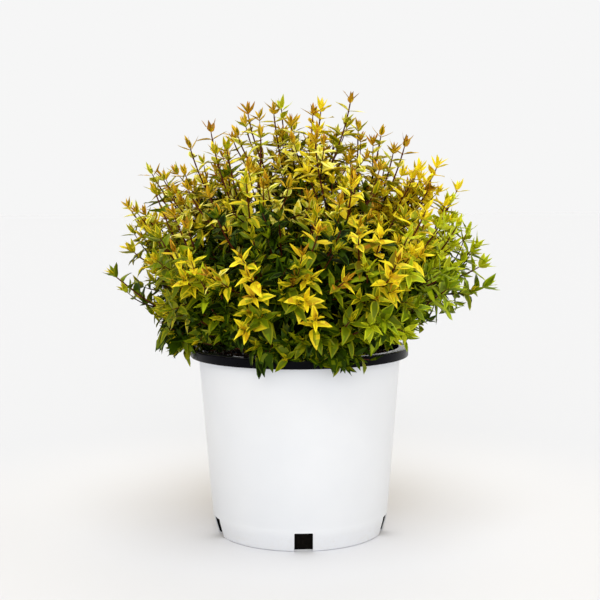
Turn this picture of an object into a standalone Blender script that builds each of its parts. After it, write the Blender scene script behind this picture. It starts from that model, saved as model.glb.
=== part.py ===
"""A glossy abelia with variegated leaves, growing in a round white nursery pot.

The pot is two moulded layers: a white skin outside, and a black lining whose lip rolls out over the skin.
It is filled with potting mix. A woody stem base sits on the mix, and boughs fan out from it. Each bough carries
one mass of foliage: a stem, the shoots that leave it, and pairs of opposite leaves along the shoots.

Everything above the mix is worked out from one point, the hub, in the middle of the stem base. A mass owns the
directions from the hub that lie nearest its own bough, past the plane at its bough's tip. That space is convex,
so a leaf whose corners are all inside it can't touch another mass or a bough.

Metres, +Z up. The origin is on the pot's axis, at its flat underside. The front is -Y.
"""

import collections
import math
import random

import bmesh
import bpy
from mathutils import Vector
from mathutils.bvhtree import BVHTree

# The pot: a three-gallon nursery container
GAP = 0.0003
POT_SIDES = 44
POT_HEIGHT = 0.239
LIP_RADIUS = 0.1397
LIP_DEPTH = 0.0115
LIP_THICKNESS = 0.0014
LIP_EDGE = 0.0010
SKIN_THICKNESS = 0.0012
LINING_THICKNESS = 0.0010
FOOT_RADIUS = 0.1052
HEEL_RADIUS = 0.1080
HEEL_HEIGHT = 0.0030
TUCK_RADIUS = 0.1133
TUCK_HEIGHT = 0.0240
WALL_TOP_RADIUS = 0.1300
WALL_TOP_HEIGHT = POT_HEIGHT - LIP_THICKNESS - GAP

# The drainage notches, cut through both layers where the wall meets the underside
NOTCH_ANGLES_DEG = (-88.0, -16.0, 56.0, 128.0, 200.0)
NOTCH_WIDTH = 0.0226
NOTCH_HEIGHT = 0.0243
NOTCH_DEPTH = 0.0120

# The potting mix
MIX_EDGE_HEIGHT = 0.2265
MIX_MOUND_HEIGHT = 0.2300

# The stem base, a woody knuckle that stands on the mix
HUB_HEIGHT = 0.2460
KNUCKLE_RADIUS = 0.0190
KNUCKLE_FLARE_RADIUS = 0.0250
KNUCKLE_SIDES = 16
KNUCKLE_RINGS = 6
KNUCKLE_WAIST_DEG = -38.0

# The crown's outline, leaves and all: how far it reaches from the hub, by elevation
REACH_ELEVATIONS_DEG = (-14.0, -5.0, 5.0, 10.0, 17.0, 30.0, 42.0, 60.0, 75.0, 90.0)
REACH_METRES = (0.146, 0.168, 0.184, 0.214, 0.242, 0.264, 0.284, 0.294, 0.304, 0.308)
# The leading shoots that stand out along the skyline: how far across, and how high their leaves reach
SKYLINE_TIPS = (
    (-0.212, 0.302), (-0.242, 0.332), (-0.228, 0.372), (-0.231, 0.413), (-0.198, 0.461), (-0.151, 0.489),
    (-0.118, 0.516), (-0.072, 0.535), (-0.040, 0.545), (0.021, 0.546), (0.065, 0.557), (0.103, 0.508),
    (0.137, 0.499), (0.177, 0.470), (0.213, 0.441), (0.222, 0.404), (0.233, 0.369), (0.245, 0.317),
)
SKYLINE_WANDER = 0.030
SHOOT_COUNT = 102
SHOOT_LOWEST_DEG = -6.0
SHOOT_CROWDING = 0.84
SHOOT_REACH_SHARE = (0.80, 1.00)
SHOOT_PULLS_TRIED = (0.0, 0.15, 0.3, 0.45)
LEAF_BEYOND_TIP = 0.032
GOLDEN_ANGLE = math.pi * (3 - math.sqrt(5))

# The tiers of masses: name, how many, elevation and turn in degrees, and the bough's share of the reach
TIERS = (
    ("skirt", 8, 2.0, -84.0, 0.30),
    ("flank", 7, 30.0, -97.0, 0.28),
    ("shoulder", 5, 57.0, -58.0, 0.28),
    ("top", 1, 88.0, 90.0, 0.28),
)
TIER_WANDER_DEG = 2.5
SPACE_MARGIN = 0.0010

# Limbs and shoots
BOUGH_SIDES = 4
BOUGH_STEPS = 5
BOUGH_ROOT_RADIUS = 0.0028
BOUGH_TIP_RADIUS = 0.0019
BOUGH_BOW = 0.0030
BOUGH_STRAIGHT_ENDS = 0.2
STEM_SHARE = 0.30
STEM_RADII = (0.0017, 0.0012)
SHOOT_SIDES = 3
SHOOT_STEPS = 2
SHOOT_RADII = (0.00105, 0.00060)
SHOOT_EASE = 0.30
SHOOT_STEM_SHARES = (0.22, 0.95)
SKIRT_LIFT = 0.016
POT_CLEARANCE = 0.0035

# Leaves: each stands for several, so it is larger than a real leaf
LEAF_LENGTH = 0.050
LEAF_HALF_WIDTH = 0.0130
LEAF_WIDEST_SHARE = 0.40
LEAF_RIDGE = 0.0010
LEAF_CURL = 0.10
LEAF_ROOT_SUNK = 0.00025
LEAF_SIZES_TRIED = (1.0, 0.80, 0.62)
LEAF_SWINGS_TRIED_DEG = (0.0, 24.0, -24.0)
LEAF_DROOP = 0.16
# Where the pairs sit along a shoot, how far each leans out from it, and its size
LEAF_PAIRS = ((0.40, 58.0, 0.95), (0.70, 55.0, 1.0), (0.97, 32.0, 0.80))
STEM_LEAF_PAIRS = ((0.55, 60.0, 0.80), (0.97, 45.0, 0.90))

SEED = 41
SOLVERS_TRIED = ("EXACT", "MANIFOLD")

COLOURS = {
    "pot_white": ((0.86, 0.86, 0.87), 0.42, 0.0),
    "pot_black": ((0.022, 0.022, 0.026), 0.38, 0.0),
    "potting_mix": ((0.045, 0.030, 0.020), 0.95, 0.0),
    "bark": ((0.16, 0.075, 0.045), 0.80, 0.0),
    "foliage": ((0.42, 0.46, 0.05), 0.45, 0.0),
}

HUB = Vector((0.0, 0.0, HUB_HEIGHT))


def clear_scene():
    for old in list(bpy.data.objects):
        bpy.data.objects.remove(old, do_unlink=True)


def material(name):
    """The Principled material of that name, made once."""
    made = bpy.data.materials.get(name)
    if made is None:
        colour, roughness, metallic = COLOURS[name]
        made = bpy.data.materials.new(name)
        made.use_nodes = True
        shader = made.node_tree.nodes["Principled BSDF"]
        shader.inputs["Base Color"].default_value = (*colour, 1.0)
        shader.inputs["Roughness"].default_value = roughness
        shader.inputs["Metallic"].default_value = metallic
    return made


def mesh_object(name, points, faces, finish, collection=None):
    """An object made from points and faces, with its normals facing out."""
    mesh = bpy.data.meshes.new(name)
    mesh.from_pydata([tuple(p) for p in points], [], faces)
    shape = bmesh.new()
    shape.from_mesh(mesh)
    bmesh.ops.recalc_face_normals(shape, faces=shape.faces)
    shape.to_mesh(mesh)
    shape.free()
    mesh.materials.append(material(finish))
    made = bpy.data.objects.new(name, mesh)
    (collection or bpy.context.scene.collection).objects.link(made)
    return made


def lathe(name, profile, sides, finish):
    """A solid turned about the Z axis from a closed outline of (radius, height). A radius of 0 is one point."""
    points, rings, faces = [], [], []
    for radius, height in profile:
        if radius == 0:
            rings.append([len(points)] * sides)
            points.append((0.0, 0.0, height))
            continue
        rings.append([len(points) + k for k in range(sides)])
        for k in range(sides):
            angle = 2 * math.pi * k / sides
            points.append((radius * math.cos(angle), radius * math.sin(angle), height))
    for j, ring in enumerate(rings):
        after = rings[(j + 1) % len(rings)]
        for k in range(sides):
            corners = [ring[k], ring[(k + 1) % sides], after[(k + 1) % sides], after[k]]
            face = list(dict.fromkeys(corners))
            if len(face) > 2:
                faces.append(face)
    made = mesh_object(name, points, faces, finish)
    made.data.shade_smooth()
    made.data.set_sharp_from_angle(angle=math.radians(35))
    return made


def wall_radius(height):
    """Outside radius of the pot's white wall at a height above its tucked-in foot."""
    share = (height - TUCK_HEIGHT) / (WALL_TOP_HEIGHT - TUCK_HEIGHT)
    return TUCK_RADIUS + share * (WALL_TOP_RADIUS - TUCK_RADIUS)


def inset(depth, floor):
    """The pot's outside outline moved inwards by depth, from the wall's foot up to the tuck, with its floor raised."""
    return [
        (FOOT_RADIUS - depth * 0.6, floor),
        (HEEL_RADIUS - depth, floor + HEEL_HEIGHT * 0.8),
        (TUCK_RADIUS - depth, TUCK_HEIGHT + depth * 0.3),
    ]


def make_pot_skin():
    inner = SKIN_THICKNESS
    outline = [(0, 0), (FOOT_RADIUS, 0), (HEEL_RADIUS, HEEL_HEIGHT), (TUCK_RADIUS, TUCK_HEIGHT)]
    outline += [(WALL_TOP_RADIUS, WALL_TOP_HEIGHT), (WALL_TOP_RADIUS - inner, WALL_TOP_HEIGHT)]
    outline += reversed(inset(inner, inner))
    outline += [(0, inner)]
    return lathe("pot_skin", outline, POT_SIDES, "pot_white")


def make_pot_lining():
    """The black layer: floor and wall inside the skin, and the lip that rolls out over the skin's edge."""
    outer = SKIN_THICKNESS + GAP
    inner = outer + LINING_THICKNESS
    top, under = POT_HEIGHT, POT_HEIGHT - LIP_THICKNESS
    outline = [(0, outer)] + inset(outer, outer)
    outline += [(WALL_TOP_RADIUS - outer, under)]
    outline += [(LIP_RADIUS - LIP_THICKNESS, under), (LIP_RADIUS - LIP_THICKNESS, top - LIP_DEPTH)]
    outline += [(LIP_RADIUS, top - LIP_DEPTH), (LIP_RADIUS, top - LIP_EDGE), (LIP_RADIUS - LIP_EDGE, top)]
    outline += [(WALL_TOP_RADIUS - inner, top)]
    outline += reversed(inset(inner, inner))
    outline += [(0, inner)]
    return lathe("pot_lining", outline, POT_SIDES, "pot_black")


def make_mix():
    depth = SKIN_THICKNESS + LINING_THICKNESS + 2 * GAP
    edge = wall_radius(MIX_EDGE_HEIGHT) - depth
    outline = [(0, depth)] + inset(depth, depth) + [(edge, MIX_EDGE_HEIGHT)]
    outline += [(edge * 0.55, MIX_MOUND_HEIGHT), (0, MIX_MOUND_HEIGHT)]
    return lathe("potting_mix", outline, POT_SIDES, "potting_mix")


def cut_notches(layers):
    """Cuts the drainage notches out of the pot's layers with one box each."""
    for number, degrees in enumerate(NOTCH_ANGLES_DEG):
        angle = math.radians(degrees)
        cutter_mesh = bpy.data.meshes.new(f"notch_cutter_{number}")
        box = bmesh.new()
        bmesh.ops.create_cube(box, size=1.0)
        bmesh.ops.scale(box, vec=(2 * NOTCH_DEPTH, NOTCH_WIDTH, 2 * NOTCH_HEIGHT), verts=box.verts)
        box.to_mesh(cutter_mesh)
        box.free()
        cutter = bpy.data.objects.new(f"notch_cutter_{number}", cutter_mesh)
        bpy.context.scene.collection.objects.link(cutter)
        cutter.location = (TUCK_RADIUS * math.cos(angle), TUCK_RADIUS * math.sin(angle), 0)
        cutter.rotation_euler = (0, 0, angle)
        cutter.hide_render = True
        cutter.display_type = "WIRE"
        for layer in layers:
            cut = layer.modifiers.new(cutter.name, "BOOLEAN")
            cut.operation = "DIFFERENCE"
            cut.object = cutter


def make_stem_base():
    """A knuckle of wood round the hub, on a flared foot that is cut flat where it meets the mix."""
    foot = MIX_MOUND_HEIGHT + GAP
    outline = [(0, foot), (KNUCKLE_FLARE_RADIUS, foot)]
    for k in range(KNUCKLE_RINGS + 1):
        angle = math.radians(KNUCKLE_WAIST_DEG + k * (90 - KNUCKLE_WAIST_DEG) / KNUCKLE_RINGS)
        radius = 0 if k == KNUCKLE_RINGS else KNUCKLE_RADIUS * math.cos(angle)
        outline.append((radius, HUB_HEIGHT + KNUCKLE_RADIUS * math.sin(angle)))
    return lathe("stem_base", outline, KNUCKLE_SIDES, "bark")


def direction(elevation, azimuth):
    """Unit vector at that elevation and azimuth, in radians."""
    flat = math.cos(elevation)
    return Vector((flat * math.cos(azimuth), flat * math.sin(azimuth), math.sin(elevation)))


def crown_reach(toward):
    """How far the crown goes from the hub in that direction."""
    elevation = math.degrees(math.asin(max(-1.0, min(1.0, toward.z))))
    for k in range(1, len(REACH_METRES)):
        low, high = REACH_ELEVATIONS_DEG[k - 1], REACH_ELEVATIONS_DEG[k]
        if elevation <= high:
            share = max(0.0, (elevation - low) / (high - low))
            return REACH_METRES[k - 1] + share * (REACH_METRES[k] - REACH_METRES[k - 1])
    return REACH_METRES[-1]


def mass_plan():
    """The masses as (name, unit direction, distance of the bough's tip from the hub)."""
    chance = random.Random(SEED)
    plan = []
    for tier, count, elevation, turn, bough_share in TIERS:
        for k in range(count):
            rise = elevation + chance.uniform(-TIER_WANDER_DEG, TIER_WANDER_DEG)
            swing = turn + 360.0 * k / count + chance.uniform(-TIER_WANDER_DEG, TIER_WANDER_DEG)
            toward = direction(math.radians(rise), math.radians(swing))
            label = f"{tier}_{k + 1}" if count > 1 else tier
            plan.append((label, toward, bough_share * crown_reach(toward)))
    return plan


def shoot_tips():
    """The tips of all shoots: the leading shoots of the skyline, then a golden-angle spiral over the crown."""
    chance = random.Random(SEED + 1)
    tips = [Vector((across, chance.uniform(-1, 1) * SKYLINE_WANDER, height)) for across, height in SKYLINE_TIPS]
    lowest = math.sin(math.radians(SHOOT_LOWEST_DEG))
    for k in range(SHOOT_COUNT):
        elevation = math.asin(lowest + (1 - lowest) * ((k + 0.5) / SHOOT_COUNT) ** SHOOT_CROWDING)
        toward = direction(elevation, k * GOLDEN_ANGLE + chance.uniform(-0.12, 0.12))
        tips.append(HUB + toward * crown_reach(toward) * chance.uniform(*SHOOT_REACH_SHARE))
    return [tip - (tip - HUB).normalized() * LEAF_BEYOND_TIP for tip in tips]


def owner(point, plan):
    """Which mass's directions the point lies in."""
    return max(range(len(plan)), key=lambda k: plan[k][1].dot(point - HUB))


def in_space(point, index, plan, margin=SPACE_MARGIN):
    """Whether a point is inside a mass's own space, clear of its neighbours' spaces and past its bough's tip."""
    away = point - HUB
    toward, start = plan[index][1], plan[index][2]
    if away.dot(toward) < start + GAP:
        return False
    for k, (_, other, _) in enumerate(plan):
        between = toward - other
        if k != index and away.dot(between) < margin * between.length:
            return False
    return True


def clear_of_pot(point):
    """Whether a point is outside the pot and above the mix, with room to spare."""
    out = math.hypot(point.x, point.y)
    if out > LIP_RADIUS + POT_CLEARANCE:
        return True
    if out > WALL_TOP_RADIUS - 2 * POT_CLEARANCE:
        return point.z > POT_HEIGHT + POT_CLEARANCE
    return point.z > MIX_MOUND_HEIGHT + POT_CLEARANCE


def side_of(along):
    """A unit vector square to the given one, level where that can be."""
    across = along.cross(Vector((0, 0, 1)))
    return across.normalized() if across.length > 0.05 else Vector((1, 0, 0))


def tube(points, radii, sides):
    """Points and faces of a capped tapering tube along a smooth row of points."""
    across = side_of((points[-1] - points[0]).normalized())
    corners, faces = [], []
    for k, point in enumerate(points):
        along = (points[min(k + 1, len(points) - 1)] - points[max(k - 1, 0)]).normalized()
        across = (across - along * across.dot(along)).normalized()
        up = along.cross(across)
        for j in range(sides):
            angle = 2 * math.pi * j / sides
            corners.append(point + (across * math.cos(angle) + up * math.sin(angle)) * radii[k])
    for k in range(len(points) - 1):
        for j in range(sides):
            after = (j + 1) % sides
            low, high = k * sides, (k + 1) * sides
            faces.append((low + j, low + after, high + after, high + j))
    faces.append(tuple(reversed(range(sides))))
    faces.append(tuple(range(len(corners) - sides, len(corners))))
    return corners, faces


def taper(radii, steps):
    """Radii along a limb of that many steps, from the first to the last of the two given."""
    return [radii[0] + (radii[1] - radii[0]) * k / steps for k in range(steps + 1)]


def make_bough(label, toward, tip_distance, chance):
    """One bowed, tapering limb from the knuckle's face to the flat end where its mass begins."""
    root_distance = KNUCKLE_RADIUS + GAP
    bow = side_of(toward) * chance.uniform(-1, 1) * BOUGH_BOW
    points = []
    for k in range(BOUGH_STEPS + 1):
        share = k / BOUGH_STEPS
        bent = max(0.0, min(1.0, (share - BOUGH_STRAIGHT_ENDS) / (1 - 2 * BOUGH_STRAIGHT_ENDS)))
        along = root_distance + share * (tip_distance - root_distance)
        points.append(HUB + toward * along + bow * math.sin(math.pi * bent))
    radii = taper((BOUGH_ROOT_RADIUS, BOUGH_TIP_RADIUS), BOUGH_STEPS)
    made = mesh_object(f"{label}_bough", *tube(points, radii, BOUGH_SIDES), "bark")
    made.data.shade_smooth()
    made.data.set_sharp_from_angle(angle=math.radians(50))
    return made


def shoot_path(start, toward, tip):
    """A shoot's points: it leaves along its mass's own direction and bends to its tip, arching over the lip if low."""
    ease = start + toward * (tip - start).length * SHOOT_EASE
    if tip.z < HUB_HEIGHT + 2 * SKIRT_LIFT:
        ease.z += SKIRT_LIFT
    points = []
    for k in range(SHOOT_STEPS + 1):
        t = k / SHOOT_STEPS
        points.append(start * (1 - t) ** 2 + ease * 2 * t * (1 - t) + tip * t * t)
    return points


def along_path(points, share):
    """The place and direction at a share of a path's steps."""
    at = share * (len(points) - 1)
    k = min(int(at), len(points) - 2)
    step = points[k + 1] - points[k]
    return points[k] + step * (at - k), step.normalized()


def leaf(root, along, up, length):
    """Points and faces of a leaf: it bends down beyond its widest place, under a low ridge, from a root in the twig."""
    across = along.cross(up).normalized()
    up = across.cross(along)
    root = root - along * LEAF_ROOT_SUNK
    widest = root + along * length * LEAF_WIDEST_SHARE
    half = LEAF_HALF_WIDTH * length / LEAF_LENGTH
    points = [
        root,
        widest + across * half,
        widest - across * half,
        widest + up * LEAF_RIDGE,
        root + along * length - up * length * LEAF_CURL,
    ]
    faces = [(0, 3, 1), (0, 2, 3), (3, 4, 1), (3, 2, 4), (0, 1, 2), (1, 4, 2)]
    return points, faces


def leaf_fits(points, index, plan):
    """Whether a leaf keeps to its mass's space and stays off the pot and the mix."""
    root, left, right, ridge, tip = points
    spread = list(points) + [root.lerp(ridge, 0.5), ridge.lerp(tip, 0.33), ridge.lerp(tip, 0.67)]
    spread += [side.lerp(end, 0.5) for side in (left, right) for end in (root, tip)]
    return all(clear_of_pot(p) for p in spread) and all(in_space(p, index, plan) for p in points[1:])


def leaves_on(points, pairs, index, plan, chance, taken):
    """The leaves of one shoot: opposite pairs, each pair turned a quarter from the last, clear of those taken."""
    turn = chance.uniform(0, math.pi)
    found = []
    for share, lean_deg, size in pairs:
        place, along = along_path(points, share)
        pair = []
        for half_turn in (0, math.pi):
            lean = math.radians(lean_deg + chance.uniform(-8, 8))
            made = first_free_leaf(place, along, turn + half_turn, lean, size, index, plan, taken)
            if made:
                pair.append(made)
        found += pair
        taken += [BVHTree.FromPolygons(*made) for made in pair]
        turn += math.pi / 2
    return found


def first_free_leaf(place, along, turn, lean, size, index, plan, taken):
    """The largest leaf tried that fits at that place on a shoot, or None."""
    across = side_of(along)
    for shrink in LEAF_SIZES_TRIED:
        for swing in LEAF_SWINGS_TRIED_DEG:
            angle = turn + math.radians(swing)
            out = across * math.cos(angle) + along.cross(across) * math.sin(angle)
            grows = along * math.cos(lean) + out * math.sin(lean)
            grows = (grows - Vector((0, 0, LEAF_DROOP))).normalized()
            up = (along - grows * along.dot(grows)).normalized()
            made = leaf(place, grows, up, LEAF_LENGTH * size * shrink)
            if leaf_fits(made[0], index, plan) and not crosses(made, taken):
                return made
    return None


def crosses(made, taken):
    """Whether a leaf cuts through any of the leaves and shoots taken."""
    tree = BVHTree.FromPolygons(*made)
    return any(tree.overlap(other) for other in taken)


def fuse(base, pieces):
    """Joins the pieces to the base by one union on a collection, fills what that seals and drops loose scraps."""
    helpers = bpy.data.collections.new(f"{base.name}_pieces")
    bpy.context.scene.collection.children.link(helpers)
    for number, (points, faces) in enumerate(pieces):
        mesh_object(f"{base.name}_piece_{number}", points, faces, "foliage", helpers)
    union = base.modifiers.new("fuse", "BOOLEAN")
    union.operation = "UNION"
    union.operand_type = "COLLECTION"
    union.collection = helpers
    for solver in SOLVERS_TRIED:
        union.solver = solver
        graph = bpy.context.evaluated_depsgraph_get()
        fused = bpy.data.meshes.new_from_object(base.evaluated_get(graph))
        keep_main_body(fused)
        if is_closed(fused):
            break
    base.modifiers.remove(union)
    base.data = fused
    for piece in list(helpers.objects):
        bpy.data.objects.remove(piece, do_unlink=True)
    bpy.data.collections.remove(helpers)


def is_closed(mesh):
    """Whether every edge of a mesh joins two faces."""
    uses = collections.Counter(key for face in mesh.polygons for key in face.edge_keys)
    return all(count == 2 for count in uses.values())


def keep_main_body(mesh):
    """Leaves only the largest closed body of a mesh."""
    shape = bmesh.new()
    shape.from_mesh(mesh)
    bmesh.ops.triangulate(shape, faces=shape.faces)
    unseen, bodies = set(shape.verts), []
    while unseen:
        body, edge = set(), [unseen.pop()]
        while edge:
            vertex = edge.pop()
            body.add(vertex)
            for link in vertex.link_edges:
                other = link.other_vert(vertex)
                if other in unseen:
                    unseen.discard(other)
                    edge.append(other)
        bodies.append(body)
    largest = max(bodies, key=len)
    bmesh.ops.delete(shape, geom=[v for v in shape.verts if v not in largest], context="VERTS")
    shape.to_mesh(mesh)
    shape.free()


def fitting_path(start, tip, index, plan):
    """A shoot's path to its tip, or to the nearest place tried that keeps the path in its mass's space, or None."""
    toward = plan[index][1]
    middle = HUB + toward * (tip - HUB).length
    for pull in SHOOT_PULLS_TRIED:
        path = shoot_path(start, toward, tip.lerp(middle, pull))
        if all(in_space(p, index, plan, 2 * SPACE_MARGIN) and clear_of_pot(p) for p in path[1:]):
            return path
    return None


def make_foliage(label, index, plan, tips):
    """One mass: a stem on from the bough's tip, shoots from the stem to their tips, and leaves along the shoots."""
    chance = random.Random(SEED + 100 + index)
    toward, bough_end = plan[index][1], plan[index][2]
    foot = HUB + toward * (bough_end + GAP)
    stem_length = STEM_SHARE * (crown_reach(toward) - bough_end)
    stem_points = [foot + toward * stem_length * k / 2 for k in range(3)]
    base = mesh_object(f"{label}_foliage", *tube(stem_points, taper(STEM_RADII, 2), SHOOT_SIDES), "foliage")
    shoots = [(stem_points, tube(stem_points, taper(STEM_RADII, 2), SHOOT_SIDES), STEM_LEAF_PAIRS)]
    for number, tip in enumerate(tips):
        low, high = SHOOT_STEM_SHARES
        share = low + (high - low) * (number + 0.5) / len(tips)
        path = fitting_path(foot + toward * stem_length * share, tip, index, plan)
        if path:
            shoots.append((path, tube(path, taper(SHOOT_RADII, SHOOT_STEPS), SHOOT_SIDES), LEAF_PAIRS))
    pieces = [made for _, made, _ in shoots[1:]]
    leaf_trees = []
    for number, (path, _, pairs) in enumerate(shoots):
        taken = [BVHTree.FromPolygons(*made) for k, (_, made, _) in enumerate(shoots) if k != number]
        taken += leaf_trees
        before = len(taken)
        pieces += leaves_on(path, pairs, index, plan, chance, taken)
        leaf_trees += taken[before:]
    fuse(base, pieces)
    return base


def main():
    clear_scene()
    cut_notches([make_pot_skin(), make_pot_lining()])
    make_mix()
    make_stem_base()
    plan = mass_plan()
    tips = shoot_tips()
    owners = [owner(tip, plan) for tip in tips]
    for index, (label, toward, bough_end) in enumerate(plan):
        make_bough(label, toward, bough_end, random.Random(SEED + 50 + index))
        mine = [tip for tip, whose in zip(tips, owners) if whose == index]
        make_foliage(label, index, plan, mine)


main()
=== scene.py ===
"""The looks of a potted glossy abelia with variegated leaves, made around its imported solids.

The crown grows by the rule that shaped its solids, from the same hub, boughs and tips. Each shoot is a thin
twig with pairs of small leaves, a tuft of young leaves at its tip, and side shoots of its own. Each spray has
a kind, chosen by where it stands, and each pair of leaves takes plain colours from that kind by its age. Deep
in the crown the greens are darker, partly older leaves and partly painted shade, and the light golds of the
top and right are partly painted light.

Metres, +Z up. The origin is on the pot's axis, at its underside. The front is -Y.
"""

import random
from collections import namedtuple
from math import asin, atan2, cos, degrees, hypot, pi, radians, sin, sqrt, tan

import bmesh
import bpy
import numpy as np
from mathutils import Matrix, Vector, noise


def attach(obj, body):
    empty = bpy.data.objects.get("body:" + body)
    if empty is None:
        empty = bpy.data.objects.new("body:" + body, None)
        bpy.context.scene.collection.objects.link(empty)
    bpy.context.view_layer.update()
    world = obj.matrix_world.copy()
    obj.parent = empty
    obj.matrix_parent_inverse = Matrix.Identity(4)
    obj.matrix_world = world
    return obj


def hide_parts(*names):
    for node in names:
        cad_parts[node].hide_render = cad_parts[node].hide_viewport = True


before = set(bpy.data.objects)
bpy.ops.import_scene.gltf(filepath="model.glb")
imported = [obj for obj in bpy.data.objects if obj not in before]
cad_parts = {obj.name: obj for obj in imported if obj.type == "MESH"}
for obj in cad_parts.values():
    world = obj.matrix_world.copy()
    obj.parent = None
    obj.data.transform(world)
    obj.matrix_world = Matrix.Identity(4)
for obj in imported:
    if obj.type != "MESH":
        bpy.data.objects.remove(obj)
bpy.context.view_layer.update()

# The camera stands where the photograph was taken from
CAMERA_PLACE = (0.0, -1.45, 0.4175)
CAMERA_PITCH = 0.0825
CAMERA_ROLL = -0.0054
CAMERA_SENSOR_MM = 36.0
CAMERA_LENS_MM = 67.94
CAMERA_SHIFT = 0.0014
CAMERA_CLIP = (0.05, 120.0)

# The room: the floor's display colours, and how bright it is at the back, at the sides and overhead
FLOOR_HALF_WIDTH = 60
FLOOR_COLOUR = (0.835, 0.845, 0.880)
# Near the plant the floor is painted paler, as painted light, fading out across FLOOR_FADE in metres
PAINTED_LIGHT_FLOOR_COLOUR = (0.868, 0.870, 0.894)
FLOOR_FADE = (0.28, 0.75)
BACKDROP = 0.922
ROOM_SIDE_SHARE = 0.925
ROOM_TURN = (0.30, 0.90)
ROOM_TOP_COLOUR = (0.80, 0.69, 0.48, 1.0)
ROOM_RISE_DEG = (14, 40)
# Soft distant lights: elevation and azimuth in degrees, strength, softness in degrees, and colour
SUNS = {
    "key": (68, -88, 1.55, 40, (0.80, 0.90, 1.0)),
    "back": (62, 78, 0.30, 30, (1.0, 0.98, 0.93)),
    "fill": (20, -92, 0.92, 46, (1.0, 1.0, 1.0)),
    "rim": (36, 8, 0.30, 60, (1.0, 0.97, 0.90)),
}

# The pot, as its solids have it
POT_HEIGHT = 0.239
LIP_RADIUS = 0.1397
LIP_DEPTH = 0.0115
LIP_THICKNESS = 0.0014
SKIN_THICKNESS = 0.0012
LINING_THICKNESS = 0.0010
GAP = 0.0003
UNDERSIDE_RADIUS = 0.1012
HEEL_RADIUS = 0.1080
HEEL_ROUND = 0.0030
TUCK_RADIUS = 0.1133
TUCK_HEIGHT = 0.0240
TUCK_ROUND = 0.040
WALL_FROM_HEIGHT = 0.034
WALL_TOP_RADIUS = 0.1300
WALL_TOP_HEIGHT = POT_HEIGHT - LIP_THICKNESS - GAP
LIP_ROUND, LIP_INNER_ROUND, LIP_HEM_ROUND = 0.0022, 0.001, 0.0007
NOTCH_ANGLES_DEG = (-88.0, -16.0, 56.0, 128.0, 200.0)
NOTCH_WIDTH = 0.0226
NOTCH_HEIGHT = 0.0243
NOTCH_DEPTH = 0.0120
NOTCH_ROUND = 0.0006
POT_SIDES = 192
SHARP_DEG = 40
HEEL_ARC_DEG, TUCK_ARC_DEG = (-90, -10), (-16, 3)
WALL_RINGS = 9
# How far below the lip's top its upward faces take the painted reflection
PAINTED_REFLECTION_BAND = 0.0006

# The potting mix, and what lies in it
MIX_EDGE_HEIGHT = 0.2265
MIX_MOUND_HEIGHT = 0.2300
MIX_FLAT_SHARE = 0.55
MIX_RELIEF, MIX_TOP_BAND, CRUMB_BAND = 0.0016, 0.002, 0.001
MIX_RINGS, MIX_SIDES = 90, 180
CHIP_COUNT = 1500
CHIP_LENGTH, CHIP_WIDTH, CHIP_DEPTH = (0.003, 0.010), (0.35, 0.7), (0.18, 0.35)
LUMP_SCATTER = (0.78, 1.18)
PERLITE_COUNT = 260
PERLITE_RADIUS = (0.0008, 0.0019)
FIBRE_COUNT, FIBRE_STEPS = 70, 9
FIBRE_STEP = 0.0022
FIBRE_RISE = 0.0012
FIBRE_RADIUS = 0.00022
# Bare roots that loop up out of the mix: where, and how high
ROOT_TANGLES = ((-0.103, 0.000, 0.015), (-0.110, -0.026, 0.008), (-0.096, 0.012, 0.010))
ROOTS_EACH, ROOT_STEPS = 4, 25
ROOT_HALF_SPAN = 0.008
ROOT_WANDER = 0.010
ROOT_RADIUS = 0.00026
# Crumbly matter: a dark and a light display colour, and how fine it is
SOILS = {
    "mix": ((0.10, 0.07, 0.05), (0.28, 0.20, 0.14), 260.0),
    # Below its top, the mix is painted near black: painted shade inside the pot
    "mix_painted_shade": ((0.02, 0.015, 0.012), (0.06, 0.045, 0.03), 260.0),
    "chip_dark": ((0.10, 0.06, 0.05), (0.22, 0.13, 0.09), 500.0),
    "chip_mid": ((0.20, 0.12, 0.08), (0.36, 0.23, 0.15), 500.0),
    "chip_pale": ((0.33, 0.23, 0.16), (0.50, 0.38, 0.27), 500.0),
    "perlite": ((0.80, 0.79, 0.75), (0.95, 0.94, 0.92), 900.0),
    "root_fibre": ((0.62, 0.54, 0.42), (0.84, 0.78, 0.67), 700.0),
    "bare_root": ((0.70, 0.68, 0.60), (0.90, 0.88, 0.82), 700.0),
}

# The stem base and the boughs, as the solids have them
HUB_HEIGHT = 0.2460
HUB = Vector((0.0, 0.0, HUB_HEIGHT))
UP = Vector((0.0, 0.0, 1.0))
KNUCKLE_RADIUS = 0.0190
KNUCKLE_FLARE_RADIUS = 0.0250
KNUCKLE_WAIST_DEG = -38.0
FLARE_RINGS, KNUCKLE_RINGS, KNUCKLE_SIDES = 9, 36, 96
KNUCKLE_SHARP_DEG = 80
BOUGH_STEPS, BOUGH_SIDES = 40, 12
BOUGH_ROOT_RADIUS = 0.0028
BOUGH_TIP_RADIUS = 0.0019
BOUGH_BOW = 0.0030
BOUGH_STRAIGHT_ENDS = 0.2
COLLAR_SWELL, COLLAR_FALL = 0.0016, 14
BARK_RELIEF = 0.00028
KNUCKLE_RELIEF_GAIN = 3.0

# The crown's reach from the hub, by elevation, as the solids have it
REACH_ELEVATIONS_DEG = (-14.0, -5.0, 5.0, 10.0, 17.0, 30.0, 42.0, 60.0, 75.0, 90.0)
REACH_METRES = (0.146, 0.168, 0.184, 0.214, 0.242, 0.264, 0.284, 0.294, 0.304, 0.308)
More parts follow.
